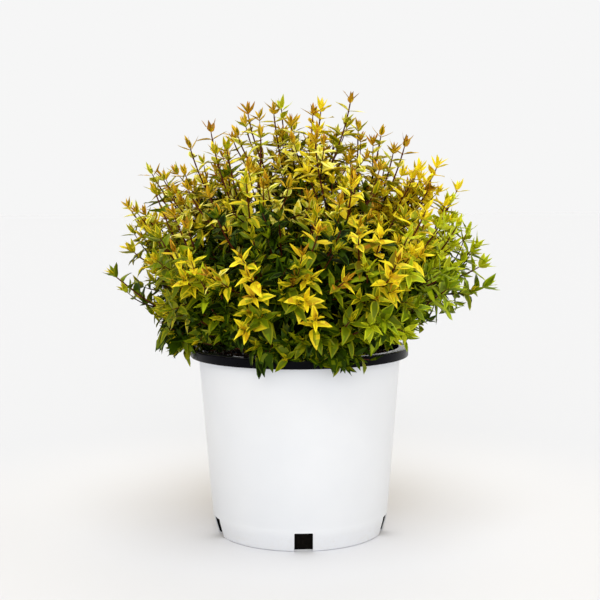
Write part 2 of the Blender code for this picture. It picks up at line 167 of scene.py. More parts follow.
# The leading shoots that stand out along the skyline: how far across and how high they reach, and their kind
SKYLINE_TIPS = (
    (-0.212, 0.302, "green"), (-0.241, 0.335, "green"), (-0.220, 0.367, "olive"), (-0.201, 0.415, "crest"),
    (-0.195, 0.468, "crest"), (-0.151, 0.468, "crest"), (-0.117, 0.526, "bronze"), (-0.065, 0.545, "bronze"),
    (-0.032, 0.547, "crest"), (0.019, 0.543, "bronze"), (0.068, 0.559, "bronze"), (0.109, 0.517, "crest"),
    (0.138, 0.503, "bronze"), (0.181, 0.475, "sunlit"), (0.211, 0.445, "sunlit"), (0.203, 0.404, "lime"),
    (0.232, 0.370, "lime"), (0.249, 0.316, "fresh"),
)
MORE_SKYLINE_TIPS = (
    (-0.225, 0.424, "crest"), (-0.181, 0.462, "crest"), (-0.140, 0.500, "crest"), (-0.022, 0.552, "lemon"),
    (0.030, 0.550, "sunlit"), (0.080, 0.526, "crest"), (0.124, 0.495, "crest"), (0.148, 0.450, "bronze"),
    (0.170, 0.445, "bronze"), (0.240, 0.345, "lime"), (0.172, 0.440, "sunlit"), (0.150, 0.432, "sunlit"),
    (0.192, 0.424, "sunlit"), (-0.168, 0.440, "crest"), (0.052, 0.520, "crest"), (-0.085, 0.510, "crest"),
)
SKYLINE_WANDER = 0.030
SKYLINE_TUFT_REACH = 0.010
# Leading shoots in a golden-angle spiral: how many, their lowest elevation in degrees, how they crowd, the
# spiral's start in steps, how far each wanders in radians, and its share of the crown's reach
SHOOT_SPIRAL = (102, -6.0, 0.84, 0.0, 0.12, (0.80, 1.00))
# More upright ones in the upper crown, with hardly any side shoots
UPRIGHT_SPIRAL = (40, 34.0, 1.0, 0.5, 0.2, (0.80, 0.99))
GOLDEN_ANGLE = pi * (3 - sqrt(5))
# The masses by tier: how many, elevation and azimuth in degrees, and the boughs' share of the reach
TIERS = {
    "skirt": (8, 2.0, -84.0, 0.30),
    "flank": (7, 30.0, -97.0, 0.28),
    "shoulder": (5, 57.0, -58.0, 0.28),
    "top": (1, 88.0, 90.0, 0.28),
}
TIER_WANDER_DEG = 2.5
STEM_SHARE = 0.30
STEM_STEPS = 16
LEADER_EASES = (0.30, 0.48)
LEADER_LIFT = 0.02
SHOOT_STEM_SHARES = (0.22, 0.95)
SKIRT_LIFT = 0.016
POT_CLEARANCE = 0.0015
# Where the hem of the crown is lifted off the lip: azimuth and half width in degrees, and its height there
LIFTED_HEMS = (
    (-134, 21, 0.252), (-91, 6, 0.2405), (-44, 14, 0.245), (-28, 12, 0.251), (2, 34, 0.261), (58, 18, 0.252),
    (142, 16, 0.254),
)
HEM_FALL = 0.012
HEM_FROM_RADIUS = 0.070
# Away from the front, the crown's underside rises outwards: from which radius and height, and its slope
RIGHT_EAVES = (0.165, 0.256, 0.52)
LEFT_EAVES = (0.187, 0.280, 0.75)
EAVES_FRONT = -0.085
EAVES_ROOM = 0.008
# Shoots whose last leaves hang over the lip: azimuth in degrees, and the tip's distance out and height
HANGING_SHOOTS = (
    (-109, 0.150, 0.256), (-103, 0.156, 0.249), (-106, 0.155, 0.243), (-77, 0.157, 0.246),
    (-71, 0.152, 0.256), (-73, 0.157, 0.243), (-81, 0.150, 0.254), (-160, 0.160, 0.253), (-171, 0.166, 0.262),
    (-152, 0.160, 0.252), (-178, 0.160, 0.254), (-165, 0.170, 0.258), (34, 0.156, 0.250), (86, 0.156, 0.250),
    (98, 0.158, 0.248), (112, 0.154, 0.252), (166, 0.160, 0.250),
)
HANGING_FROM_SHARE = 0.6
HANGING_EASE = 0.45
HANGING_END = 0.012
HANGING_RISE, HANGING_MOST_RISE, HANGING_RISE_STEP = 0.018, 0.06, 0.006
SEED = 41

# What this script adds to the rule: finer twigs, and smaller leaves
TUFT_REACH = 0.018
PATH_STEP = 0.004
STEM_RADII = (0.0019, 0.0015)
LEADER_RADII = (0.0016, 0.00090)
SIDE_RADII = (0.0010, 0.00055)
TIP_UPTURN = (0.10, 0.42)
OPEN_UPTURN = 0.55
SKIRT_UPTURN = 0.10
TWIG_SIDES = 5
TWIG_STEP = 0.02
NODE_SWELLING, NODE_HALF_LENGTH, NODE_REACH = 1.45, 0.0012, 0.003
RED_FROM_SHARE = 0.62
TWIG_TIP_SHARE, NODE_ROOM = 0.6, 0.006
# Side shoots: where on their shoot they start, length, lean in degrees, and the most of the crown's reach
SIDE_RULE = ((0.12, 0.68), (0.034, 0.082), (30.0, 46.0))
SIDE_REACH_LOW, SIDE_REACH_TOP = 0.92, 0.84
OUTER_RULE = ((0.5, 0.8), (0.040, 0.075), (16.0, 30.0), 0.95)
INNER_RULE = ((0.1, 1.0), (0.045, 0.095), (20.0, 62.0), 0.72)
SIDE_SHOOTS_EACH, OPEN_SIDE_LOSS = (3, 5), 3
OUTER_SHOOTS_EACH = (1, 2)
FEATURE_SIDE_SHOOTS = 2
SAME_KIND_CHANCE = 0.5
INNER_SHOOTS = {"skirt": 18, "flank": 20, "shoulder": 15, "top": 12}
SIDE_LIFT, SIDE_SAG = 0.18, 0.004
SIDE_EASES = (0.35, 0.3)
SHORTEST_SHARE = 0.6
LEAF_LENGTH = 0.0258
LEAF_SCATTER = 0.23
LOW_LEAF_GAIN = 0.03
# How a leaf is held, by habit: its half width as a share of its length, and the ranges of its curl and rise
HABITS = {
    "young": (0.165, (-0.60, 0.25), (-0.20, 0.08)),
    "level": (0.222, (-0.10, 0.40), (-0.05, 0.22)),
    "mature": (0.212, (0.15, 0.95), (0.0, 0.30)),
    "hanging": (0.250, (0.10, 0.50), (0.0, 0.15)),
}
FORMS_EACH, PLAIN_FORMS = 20, 10
LEAF_ROWS = (0.0, 0.12, 0.32, 0.55, 0.80, 1.0)
PLAIN_ROWS = (0.28, 0.64)
TUFT_ROWS = (0.0, 0.15, 0.42, 0.74, 1.0)
FOLD_DEG, PLAIN_FOLD_DEG, PLAIN_CURL = (10, 32), (8, 30), (0.2, 0.9)
LEAF_SWAY, LEAF_TWIST, LEAF_RIPPLE = 0.13, 0.30, 0.05
LEAF_FULLNESS = (0.85, 1.12)
# Where a leaf's middle ends across its half, for a narrow margin and for a broad one
BORDERS = ((0.50, 0.88), (0.15, 0.55))
BORDER_WANDER, BORDER_LIMITS = 0.16, (0.08, 0.94)
# The tuft of young leaves at a tip: distance below the tip, lean from the twig in degrees, and length
TUFT_PAIRS = (
    (0.0000, 14.0, 0.0140), (0.0014, 32.0, 0.0185), (0.0038, 54.0, 0.0210), (0.0135, 74.0, 0.0230),
)
YOUNG_PAIRS, OPEN_PAIRS, GROWN_PAIRS = 3, 8, 5
PAIR_SPACING = (0.0098, 0.0148)
SIZE_SCATTER, WIDTH_SCATTER, SIDE_VIGOUR = (0.92, 1.08), (0.88, 1.12), 0.92
PAIR_LEAN_DEG, LEAN_WANDER_DEG = (64.0, 88.0), 7
TURN_WANDER = 0.12
END_PAIR_BELOW, END_PAIR_LEAN_DEG = 0.001, 34.0
OPEN_SPACING_GAIN = 0.35
INNER_SPACING_GAIN = 0.15
OPEN_LEAF_LOSS = 0.04
OPEN_AGE_LOSS = 0.35
OPEN_DEG = (18.0, 52.0)
BARE_SHARE = 0.12
BUD_SHARE, OPEN_BUD_LOSS = 0.26, 0.12
BUD_LEAVES, BUD_STALK = 4, 0.0015
# How far a bud's leaves lean out in degrees: the inner pair, the outer pair beyond it, and either way
BUD_SPREADS_DEG = (20, 22, 5)
BUD_LEAN_DEG, BUD_LEAF_LENGTH = (30, 48), (0.009, 0.0155)
STREAKS_IN_MIDDLE = 0.26
STREAKS_IN_MARGIN = (0.12, 0.30)
DROOP, LOW_DROOP, DROOP_SCATTER = 0.10, 0.36, (0.2, 2.2)
LOW_DEPTH = 0.07
# The droop of hanging leaves, away from the front and there
HANGING_DROOPS = (0.55, 1.2)
HANGING_SIZE = 0.98
HANGING_TWIST, HANGING_SCATTER = 0.7, (0.6, 1.2)
OPEN_DROOP_LOSS = 0.7
# What turns a leaf's face to the light: its twig's line, the sky, and the outside of the crown
TWIG_PULL, SKY_PULL, OUTWARD_PULL = 0.7, 0.5, 0.2
LEAF_GLOSS = 0.20
TWIG_GLOSS = 0.12
# The tiers whose leaves and twigs are joined as two pieces, and the last mass of the first piece
SPLIT_TIERS = {"flank": 3, "shoulder": 2}

# The ranks of shoots
STEM, LEADER, SIDE, HANGING = range(4)

LeafForm = namedtuple("LeafForm", "points corners sizes zones")
Tip = namedtuple("Tip", "place kind size feature")
Shoot = namedtuple("Shoot", "path radii level kind open size turn")

# Leaf colours: display red, green and blue, and roughness
LEAF_COLOURS = {
    "copper": (0.72, 0.50, 0.08, 0.44),
    "russet": (0.54, 0.375, 0.05, 0.44),
    "bronze_green": (0.48, 0.43, 0.06, 0.44),
    "amber": (0.83, 0.675, 0.10, 0.44),
    "gold": (0.87, 0.78, 0.10, 0.44),
    "bright_yellow": (0.96, 0.88, 0.13, 0.44),
    "pale_lemon": (0.98, 0.95, 0.46, 0.44),
    "lime": (0.83, 0.86, 0.13, 0.43),
    "yellow_green": (0.66, 0.67, 0.07, 0.42),
    "olive": (0.53, 0.54, 0.04, 0.41),
    "moss": (0.375, 0.43, 0.03, 0.39),
    "leaf_green": (0.445, 0.53, 0.03, 0.39),
    "vivid_green": (0.65, 0.71, 0.09, 0.39),
    "dark_green": (0.185, 0.265, 0.012, 0.37),
    "deep_green": (0.070, 0.115, 0.008, 0.37),
    "straw": (0.92, 0.84, 0.18, 0.44),
    "ochre": (0.69, 0.62, 0.06, 0.44),
}
# What a leaf is painted with: its middle, the streaks between, and its margin. Some margins are broad.
PALETTES = {
    "copper_tip": "bronze_green amber copper",
    "russet_tip": "bronze_green copper russet",
    "amber_tip": "bronze_green amber amber",
    "olive_tip": "olive ochre gold",
    "bronzed": "bronze_green copper olive",
    "straw_edged": "yellow_green straw pale_lemon",
    "cream_edged": "yellow_green olive pale_lemon",
    "ochre_edged": "olive ochre straw",
    "orange_gold": "amber gold gold",
    "gold": "gold amber bright_yellow",
    "gold_streaked": "yellow_green gold bright_yellow",
    "gold_green": "olive yellow_green gold",
    "lemon": "gold bright_yellow bright_yellow",
    "lemon_lime": "yellow_green lime lime",
    "lime": "vivid_green yellow_green lime",
    "olive_gold": "olive yellow_green gold",
    "olive": "moss olive yellow_green",
    "olive_plain": "moss olive olive",
    "green_edged": "moss leaf_green olive",
    "vivid": "vivid_green leaf_green leaf_green",
    "leaf": "leaf_green moss vivid_green",
    "green": "dark_green moss dark_green",
    "dark": "deep_green dark_green dark_green",
    "deep": "deep_green deep_green deep_green",
    "deep_streaked": "deep_green dark_green dark_green",
}
BROAD_MARGINS = (
    "copper_tip", "russet_tip", "amber_tip", "olive_tip", "straw_edged", "ochre_edged", "orange_gold", "gold",
    "gold_streaked", "gold_green", "lemon",
)
# The palettes of a spray's leaf pairs, from the youngest at the tip to the oldest
KINDS = {
    "golden": "amber_tip gold gold_streaked gold gold_green gold_streaked olive_gold olive",
    "orange": "russet_tip copper_tip orange_gold gold_streaked bronzed olive green green",
    "sunlit": "gold lemon lemon gold lemon gold_streaked gold_green olive_gold",
    "lemon": "gold lemon_lime lime lemon_lime gold_green lime olive_gold olive",
    "lime": "lemon_lime lime lemon_lime lime vivid lime leaf leaf",
    "bronze": "russet_tip copper_tip amber_tip straw_edged cream_edged ochre_edged bronzed olive",
    "crest": "copper_tip amber_tip cream_edged straw_edged ochre_edged gold_green cream_edged olive",
    "russet": "russet_tip russet_tip olive_tip green_edged green_edged green green green",
    "olive": "amber_tip olive_tip olive_gold green_edged olive_gold olive olive_plain green",
    "mixed": "copper_tip gold_green olive_gold gold_green olive gold_streaked green_edged green",
    "green": "olive_tip olive_gold green_edged olive_plain green_edged green green dark",
    "fresh": "lime vivid leaf leaf vivid green leaf green",
    # The dark greens of "low", "hanging" and "deep" are partly older leaves and partly painted shade
    "low": "olive_plain green green olive_plain dark green dark dark",
    "hanging": "green dark green dark green dark dark dark",
    "deep": "olive_plain green dark dark dark dark dark dark",
}
# How much larger than usual the leaves of a kind are
KIND_SIZES = {"fresh": 1.24, "lime": 1.14, "green": 1.08, "crest": 0.94, "bronze": 0.90}
# The palettes of painted shade deep in the crown, partly older leaves' own darker greens, and how deep it
# begins as a share of the reach
DEEP_PALETTES, DEEP_SHADE = ("deep", "deep", "deep_streaked"), 0.66
SHADE_PALETTES, SHADE = ("dark", "dark", "green", "green_edged"), 0.84
SHADE_CHANCE, SLIP_CHANCE = 0.7, 0.25
# The painted shade lessens towards the crown's top, over these elevations in degrees, and at its sides
TOP_SHADE_LOSS, TOP_SHADE_DEG = 0.30, (34.0, 56.0)
SIDE_SHADE_LOSS = 0.21

# Where the kinds stand on the crown: azimuth and elevation in degrees, how wide the patch is, and the kind
# "deep" patches are painted shade; the lighter golds and limes up top and at the right are partly painted
# light
PATCHES = (
    (-15, 78, 7, "bronze"), (-53, 84, 5, "sunlit"), (-80, 65, 8, "golden"), (-66, 78, 5, "golden"),
    (-175, 70, 16, "crest"), (-122, 72, 8, "crest"), (-16, 65, 9, "bronze"), (-160, 55, 10, "crest"),
    (-6, 53, 13, "sunlit"), (-15, 43, 8, "golden"), (2, 40, 8, "lemon"), (-48, 51, 10, "crest"),
    (-66, 41, 7, "mixed"), (-77, 38, 7, "green"), (-46, 32, 8, "golden"), (-26, 37, 8, "lemon"),
    (-104, 41, 11, "deep"), (-131, 49, 11, "crest"), (-105, 30, 6, "deep"), (-141, 34, 8, "olive"),
    (-129, 24, 6, "olive"), (-149, 28, 6, "green"), (-95, 21, 7, "green"), (-75, 26, 8, "deep"),
    (-90, 30, 9, "deep"), (-96, 8, 7, "green"), (-108, 15, 6, "green"), (-117, 7, 6, "deep"),
    (-134, 11, 7, "green"), (-73, 12, 10, "green"), (-56, 18, 7, "lime"), (-4, 28, 10, "lime"),
    (-17, 26, 9, "lime"), (1, 18, 9, "fresh"), (2, 5, 9, "low"), (-20, 5, 9, "low"), (-36, 14, 14, "fresh"),
    (2, 12, 6, "green"), (-92, -8, 24, "low"), (-72, 3, 10, "low"), (-58, 6, 9, "low"), (-34, -3, 12, "low"),
    (-128, 12, 8, "green"), (-145, 2, 12, "low"), (-150, 13, 11, "green"), (-172, 20, 14, "green"),
    (-175, 34, 12, "olive"), (48, 24, 16, "mixed"), (76, 10, 14, "green"), (96, 34, 12, "golden"),
    (128, 14, 18, "green"), (152, 36, 14, "sunlit"), (112, 60, 16, "bronze"), (54, 52, 14, "lime"),
    (176, 6, 14, "green"), (30, 68, 12, "crest"), (118, 32, 10, "olive"), (-95, 58, 12, "crest"),
)
PATCH_BLUR_DEG = 6.0
USUAL_KINDS = ("olive", "olive", "mixed", "green", "green", "golden")
# Those of the hem, below this elevation in degrees
LOW_KINDS, LOW_KINDS_TO_DEG = ("green", "low", "olive"), 8.0
# Sprays that stand out: azimuth and elevation in degrees, share of the crown's reach, kind, and leaf size
FEATURE_SPRAYS = (
    (-107, 28, 1.00, "orange", 0.95), (-105, 24, 0.99, "golden", 1.01), (-133, 30, 0.98, "orange", 0.92),
    (-128, 23, 0.98, "golden", 0.98), (-120, 25, 0.95, "bronze", 0.95), (-115, 23, 0.96, "mixed", 0.95),
    (-104, 19, 0.98, "orange", 0.95), (-106, 15, 0.95, "mixed", 0.98), (-92, 23, 0.96, "russet", 0.92),
    (-89, 30, 0.96, "orange", 0.95), (-86, 24, 0.97, "mixed", 0.95), (-84, 35, 0.98, "orange", 0.95),
    (-88, 18, 0.99, "sunlit", 1.01), (-85, 13, 1.00, "golden", 1.02), (-108, 10, 1.00, "golden", 1.04),
    (-135, 6, 0.98, "low", 1.04), (-124, 12, 0.94, "low", 1.00), (-124, 19, 0.94, "lime", 0.95),
    (-71, 34, 0.98, "orange", 0.95), (-63, 34, 0.97, "golden", 0.95), (-52, 34, 0.97, "lemon", 1.00),
    (-42, 40, 0.99, "sunlit", 1.04), (-36, 36, 0.98, "lemon", 1.01), (-59, 27, 1.00, "orange", 1.01),
    (-62, 23, 1.00, "golden", 1.04), (-66, 18, 0.99, "mixed", 1.01), (-76, 23, 0.97, "orange", 0.95),
    (-68, 26, 0.95, "lime", 0.98), (-60, 12, 0.97, "fresh", 1.00), (-102, 39, 0.84, "fresh", 0.98),
    (-68, 9, 0.98, "low", 1.01), (-73, 4, 0.98, "low", 1.01), (-83, 8, 0.97, "low", 1.02),
    (-160, 5, 0.97, "green", 1.10), (-150, 3, 0.98, "low", 1.10), (-168, 9, 0.96, "green", 1.08),
    (-143, 5, 0.97, "green", 1.06), (-88, 2, 0.93, "low", 1.05), (-100, 1, 0.93, "low", 1.05),
    (-80, 0, 0.94, "green", 1.00), (-108, 4, 0.95, "green", 1.00), (-34, 3, 0.90, "low", 1.05),
    (-25, 5, 0.86, "low", 1.05), (-45, 4, 0.93, "green", 1.05), (90, 12, 0.98, "green", 1.00),
    (80, 21, 0.97, "mixed", 1.00), (101, 22, 0.97, "olive", 1.00), (91, 31, 0.97, "golden", 1.00),
    (93, 3, 0.96, "low", 1.00), (-95, 6, 0.96, "low", 1.01), (-117, 16, 0.94, "low", 0.98),
)

COLOUR_ORDER = list(LEAF_COLOURS)
PALETTE_FINISHES = {
    name: np.array([COLOUR_ORDER.index(colour) for colour in colours.split()])
    for name, colours in PALETTES.items()
}
KIND_PALETTES = {kind: names.split() for kind, names in KINDS.items()}


# The growth rule, as the solids have it

def clamp(value, low=0.0, high=1.0):
    """The value, kept between two limits."""
    return max(low, min(high, value))


def direction(elevation, azimuth):
    """Unit vector at that elevation and azimuth, in radians."""
    flat = cos(elevation)
    return Vector((flat * cos(azimuth), flat * sin(azimuth), sin(elevation)))


def direction_deg(elevation, azimuth):
    """The same, from degrees."""
    return direction(radians(elevation), radians(azimuth))


def crown_reach(toward):
    """How far the crown goes from the hub in that direction."""
    elevation = degrees(asin(clamp(toward.z, -1.0)))
    return float(np.interp(elevation, REACH_ELEVATIONS_DEG, REACH_METRES))


def mass_plan():
    """The masses as (name, unit direction, distance of the bough's tip from the hub)."""
    chance = random.Random(SEED)
    plan = []
    for tier, (count, elevation, turn, bough_share) in TIERS.items():
        for k in range(count):
            rise = elevation + chance.uniform(-TIER_WANDER_DEG, TIER_WANDER_DEG)
            swing = turn + 360.0 * k / count + chance.uniform(-TIER_WANDER_DEG, TIER_WANDER_DEG)
            toward = direction_deg(rise, swing)
            label = f"{tier}_{k + 1}" if count > 1 else tier
            plan.append((label, toward, bough_share * crown_reach(toward)))
    return plan


def skyline_tips(given, chance):
    """Leading shoots of the skyline."""
    tips = []
    for across, height, kind in given:
        place = Vector((across, chance.uniform(-1, 1) * SKYLINE_WANDER, height))
        tips.append(Tip(place - (place - HUB).normalized() * SKYLINE_TUFT_REACH, kind, 1.0, False))
    return tips


def tip_toward(toward, share, kind, size, feature):
    """A leading shoot's tip in that direction, at that share of the crown's reach."""
    return Tip(HUB + toward * (crown_reach(toward) * share - TUFT_REACH), kind, size, feature)


def spiral_tips(spiral, feature, chance):
    """Leading shoots spread over the crown in a golden-angle spiral."""
    count, lowest_deg, crowding, start, wander, shares = spiral
    lowest = sin(radians(lowest_deg))
    tips = []
    for k in range(count):
        elevation = asin(lowest + (1 - lowest) * ((k + 0.5) / count) ** crowding)
        toward = direction(elevation, (k + start) * GOLDEN_ANGLE + chance.uniform(-wander, wander))
        tips.append(tip_toward(toward, chance.uniform(*shares), None, 1.0, feature))
    return tips


def shoot_tips():
    """The tips of all leading shoots: the skyline's, the spirals', and the sprays that stand out."""
    chance = random.Random(SEED + 1)
    tips = skyline_tips(SKYLINE_TIPS, chance) + spiral_tips(SHOOT_SPIRAL, False, chance)
    tips += skyline_tips(MORE_SKYLINE_TIPS, chance) + spiral_tips(UPRIGHT_SPIRAL, True, chance)
    for azimuth, elevation, share, kind, size in FEATURE_SPRAYS:
        tips.append(tip_toward(direction_deg(elevation, azimuth), share, kind, size, True))
    for place in (tip.place for tip in tips):
        place.z = max(place.z, hem_height(place) + HEM_FALL, eaves_height(place) + EAVES_ROOM)
    return tips


def owner(point, plan):
    """Which mass's directions the point lies in."""
    return max(range(len(plan)), key=lambda k: plan[k][1].dot(point - HUB))


def clear_of_pot(point):
    """Whether a point is outside the pot and above the mix, with room to spare, and above any lifted hem."""
    out = hypot(point[0], point[1])
    if out > HEM_FROM_RADIUS and point[2] < hem_height(point) or point[2] < eaves_height(point):
        return False
    if out > LIP_RADIUS + POT_CLEARANCE:
        return True
    if out > WALL_TOP_RADIUS - 2 * POT_CLEARANCE:
        return point[2] > POT_HEIGHT + POT_CLEARANCE
    return point[2] > MIX_MOUND_HEIGHT + 2 * POT_CLEARANCE


def hem_height(point):
    """How low foliage may hang at a point's azimuth: lifted off the lip in some places."""
    azimuth = degrees(atan2(point[1], point[0]))
    lowest = 0.0
    for middle, half_width, height in LIFTED_HEMS:
        apart = abs((azimuth - middle + 180) % 360 - 180) / half_width
        if apart < 1:
            lowest = max(lowest, height - HEM_FALL * apart ** 4)
    return lowest


def eaves_height(point):
    """How low foliage may hang away from the front: the crown's underside rises outwards there."""
    radius, height, slope = RIGHT_EAVES if point[0] > 0 else LEFT_EAVES
    beyond = hypot(point[0], point[1]) - radius
    return height + slope * beyond if beyond > 0 and point[1] > EAVES_FRONT else 0.0


def side_of(along):
    """A unit vector square to the given one, level where that can be."""
    across = along.cross(UP)
    return across.normalized() if across.length > 0.05 else Vector((1, 0, 0))


def turned(first, second, angle):
    """The first of two square unit vectors, turned by an angle towards the second."""
    return first * cos(angle) + second * sin(angle)


def out_from(along, angle):
    """A unit vector square to the given one, at an angle about it."""
    across = side_of(along)
    return turned(across, along.cross(across), angle)


# Objects and meshes

def show(name, content):
    """A new object in the scene."""
    made = bpy.data.objects.new(name, content)
    bpy.context.scene.collection.objects.link(made)
    return made


def piece(name, mesh, slot, *nodes):
    """A shown object that rides with the part and stands for those nodes."""
    made = show(name, mesh)
    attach(made, "root")
    if nodes:
        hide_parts(*nodes)
    return made


def mesh_of(name, shape):
    """A mesh with the shape of a bmesh, which is freed."""
    made = bpy.data.meshes.new(name)
    shape.to_mesh(made)
    shape.free()
    return made


def smooth(mesh):
    """Shades a mesh smooth, apart from its sharp edges."""
    mesh.shade_smooth()
    mesh.set_sharp_from_angle(angle=radians(SHARP_DEG))


class Batch:
    """Points, faces and face finishes gathered for one joined mesh."""

    def __init__(self):
        """Starts empty."""
        self.points, self.corners, self.sizes, self.finishes, self.count = [], [], [], [], 0

    def add(self, shape, finishes=0):
        """Adds a shape of (points, corners, face sizes), with one finish or one for each face."""
        points, corners, sizes = shape
        self.points.append(np.asarray(points, float))
        self.corners.append(np.asarray(corners, int) + self.count)
        self.sizes.append(np.asarray(sizes, int))
        self.finishes.append(np.full(len(sizes), finishes))
        self.count += len(points)

    def piece(self, name, materials, slot, *nodes):
        """The joined mesh as a piece, with only the materials that its faces use."""
        points, corners = np.concatenate(self.points), np.concatenate(self.corners)
        sizes, finishes = np.concatenate(self.sizes), np.concatenate(self.finishes)
        used, finishes = np.unique(finishes, return_inverse=True)
        made = bpy.data.meshes.new(name)
        made.vertices.add(len(points))
        made.vertices.foreach_set("co", points.astype(np.float32).ravel())
        made.loops.add(len(corners))
        made.loops.foreach_set("vertex_index", corners.astype(np.int32))
        made.polygons.add(len(sizes))
        made.polygons.foreach_set("loop_start", np.concatenate(([0], np.cumsum(sizes)[:-1])).astype(np.int32))
        for index in used:
            made.materials.append(materials[index])
        made.polygons.foreach_set("material_index", finishes.astype(np.int32).ravel())
        made.update(calc_edges=True)
        made.shade_smooth()
        return piece(name, made, slot, *nodes)


def tube(points, radii, sides):
    """Points, corners and face sizes of a capped tube along some points, with one radius or one for each."""
    points = np.asarray(points, float)
    steps = np.gradient(points, axis=0)
    steps /= np.linalg.norm(steps, axis=1)[:, None]
    across = np.array(side_of(Vector(points[-1] - points[0]).normalized()))
    angles = 2 * pi * np.arange(sides) / sides
    rings = []
    for point, along, radius in zip(points, steps, np.broadcast_to(radii, len(points))):
        across = across - along * across.dot(along)
        across /= np.linalg.norm(across)
        ring = np.outer(np.cos(angles), across) + np.outer(np.sin(angles), np.cross(along, across))
        rings.append(point + ring * radius)
    spans, j = len(points) - 1, np.arange(sides)
    k = np.arange(spans)[:, None] * sides
    after = (j + 1) % sides
    walls = np.stack([k + j, k + after, k + sides + after, k + sides + j], axis=-1).reshape(-1)
    corners = np.concatenate([walls, j[::-1], j + spans * sides])
    return np.concatenate(rings), corners, [4] * (spans * sides) + [sides, sides]


# Materials

def linear(red, green, blue):
    """A colour given as display values from 0 to 1, in the light values that shaders take."""
    def one(value):
        """One of the three."""
        return value / 12.92 if value <= 0.04045 else ((value + 0.055) / 1.055) ** 2.4
    return (one(red), one(green), one(blue), 1.0)


def give(made, socket, value):
    """Joins an output to a socket, or sets the socket to a plain value."""
    if isinstance(value, bpy.types.NodeSocket):
        made.node_tree.links.new(value, socket)
    else:
        socket.default_value = value


def fill(made, target, **values):
    """Gives a node's sockets and settings by name."""
    for key, value in values.items():
        socket = target.inputs.get(key.replace("_", " "))
        if socket is None:
            setattr(target, key, value)
        else:
            give(made, socket, value)
    return target


def node(made, kind, **values):
    """A new node of that kind, with its sockets and settings."""
    return fill(made, made.node_tree.nodes.new(kind), **values)


def shade(made, **values):
    """Gives a material's shader its inputs."""
    fill(made, made.node_tree.nodes["Principled BSDF"], **values)
    return made


def new_material(name, colour, roughness, gloss=0.5):
    """A Principled material with plain values, from a display colour."""
    made = bpy.data.materials.new(name)
    made.use_nodes = True
    return shade(made, Base_Color=linear(*colour), Roughness=roughness, Specular_IOR_Level=gloss)


def place_of(made, scale=(1, 1, 1)):
    """Object coordinates, stretched by a scale along each axis."""
    where = node(made, "ShaderNodeTexCoord").outputs["Object"]
    return node(made, "ShaderNodeMapping", Scale=scale, Vector=where).outputs["Vector"]


def noise_of(made, place, scale, detail=3.0, roughness=0.55):
    """A noise pattern's value at that scale."""
    cloud = node(made, "ShaderNodeTexNoise", Vector=place, Scale=scale, Detail=detail, Roughness=roughness)
    return cloud.outputs["Fac"]


def ramp_of(made, value, *stops):
    """A colour ramp over a value. A stop is a place and a grey, display values, or four light values."""
    ramp = node(made, "ShaderNodeValToRGB", Fac=value)
    points = ramp.color_ramp.elements
    while len(points) < len(stops):
        points.new(0.5)
    for point, (where, colour) in zip(points, stops):
        if isinstance(colour, float):
            colour = (colour, colour, colour, 1.0)
        point.position = where
        point.color = linear(*colour) if len(colour) == 3 else colour
    return ramp.outputs["Color"]


def mix_of(made, factor, first, second, **settings):
    """A colour between two, or one blended on the other."""
    mixed = node(made, "ShaderNodeMix", data_type="RGBA", Factor=factor, **settings)
    give(made, mixed.inputs[6], first)
    give(made, mixed.inputs[7], second)
    return mixed.outputs[2]


def bump_of(made, value, strength, distance, **below):
    """A bump from a value, on top of another bump given as Normal."""
    bump = node(made, "ShaderNodeBump", Height=value, Strength=strength, Distance=distance, **below)
    return bump.outputs["Normal"]


def pot_white_material():
    """Satin white plastic: faint clouding, fine grain, light scuffs, a little dust towards the foot, and
    painted shade low down.
    """
    made = new_material("pot_white", (0.88, 0.88, 0.885), 0.42, 0.45)
    place = place_of(made)
    height = node(made, "ShaderNodeSeparateXYZ", Vector=place).outputs["Z"]
    whites = ((0.30, (0.905, 0.915, 0.936)), (0.70, (0.925, 0.933, 0.950)))
    tone = ramp_of(made, noise_of(made, place, 9.0), *whites)
    # Painted light and shade: the white is darkened below 0.20 m, most at 0.06 m and under, so the top looks
    # lit
    tone = mix_of(made, 1.0, tone, ramp_of(made, height, (0.06, 0.88), (0.20, 1.0)), blend_type="MULTIPLY")
    specks = noise_of(made, place, 160.0, 5.0, 0.7)
    dust = node(made, "ShaderNodeMath", operation="MULTIPLY")
    give(made, dust.inputs[0], ramp_of(made, height, (0.0, 1.0), (0.030, 0.0)))
    give(made, dust.inputs[1], ramp_of(made, specks, (0.48, 0.0), (0.78, 0.30)))
    grain = bump_of(made, noise_of(made, place, 700.0, 2.0), 0.10, 0.0003)
    flow = noise_of(made, place_of(made, (1, 1, 0.10)), 60.0, 2.0)
    return shade(
        made,
        Base_Color=mix_of(made, dust.outputs[0], tone, linear(0.80, 0.77, 0.70)),
        Roughness=ramp_of(made, noise_of(made, place, 34.0, 6.0, 0.65), (0.35, 0.36), (0.70, 0.50)),
        Normal=bump_of(made, flow, 0.05, 0.0006, Normal=grain),
    )


def pot_black_material(name, dark, light, gloss, roughness):
    """Black plastic with a blue cast, hazed where it has rubbed, with fine dust in its grain."""
    made = new_material(name, dark, roughness[0], gloss)
    place = place_of(made)
    haze = noise_of(made, place, 42.0, 6.0, 0.7)
    dust = ramp_of(made, noise_of(made, place, 900.0, 3.0, 0.8), (0.66, 0.0), (0.76, 0.16))
    tone = ramp_of(made, haze, (0.35, dark), (0.75, light))
    return shade(
        made,
        Base_Color=mix_of(made, dust, tone, linear(0.36, 0.35, 0.34)),
        Roughness=ramp_of(made, haze, (0.3, roughness[0]), (0.8, roughness[1])),
        Normal=bump_of(made, noise_of(made, place, 520.0, 3.0), 0.08, 0.0003),
    )


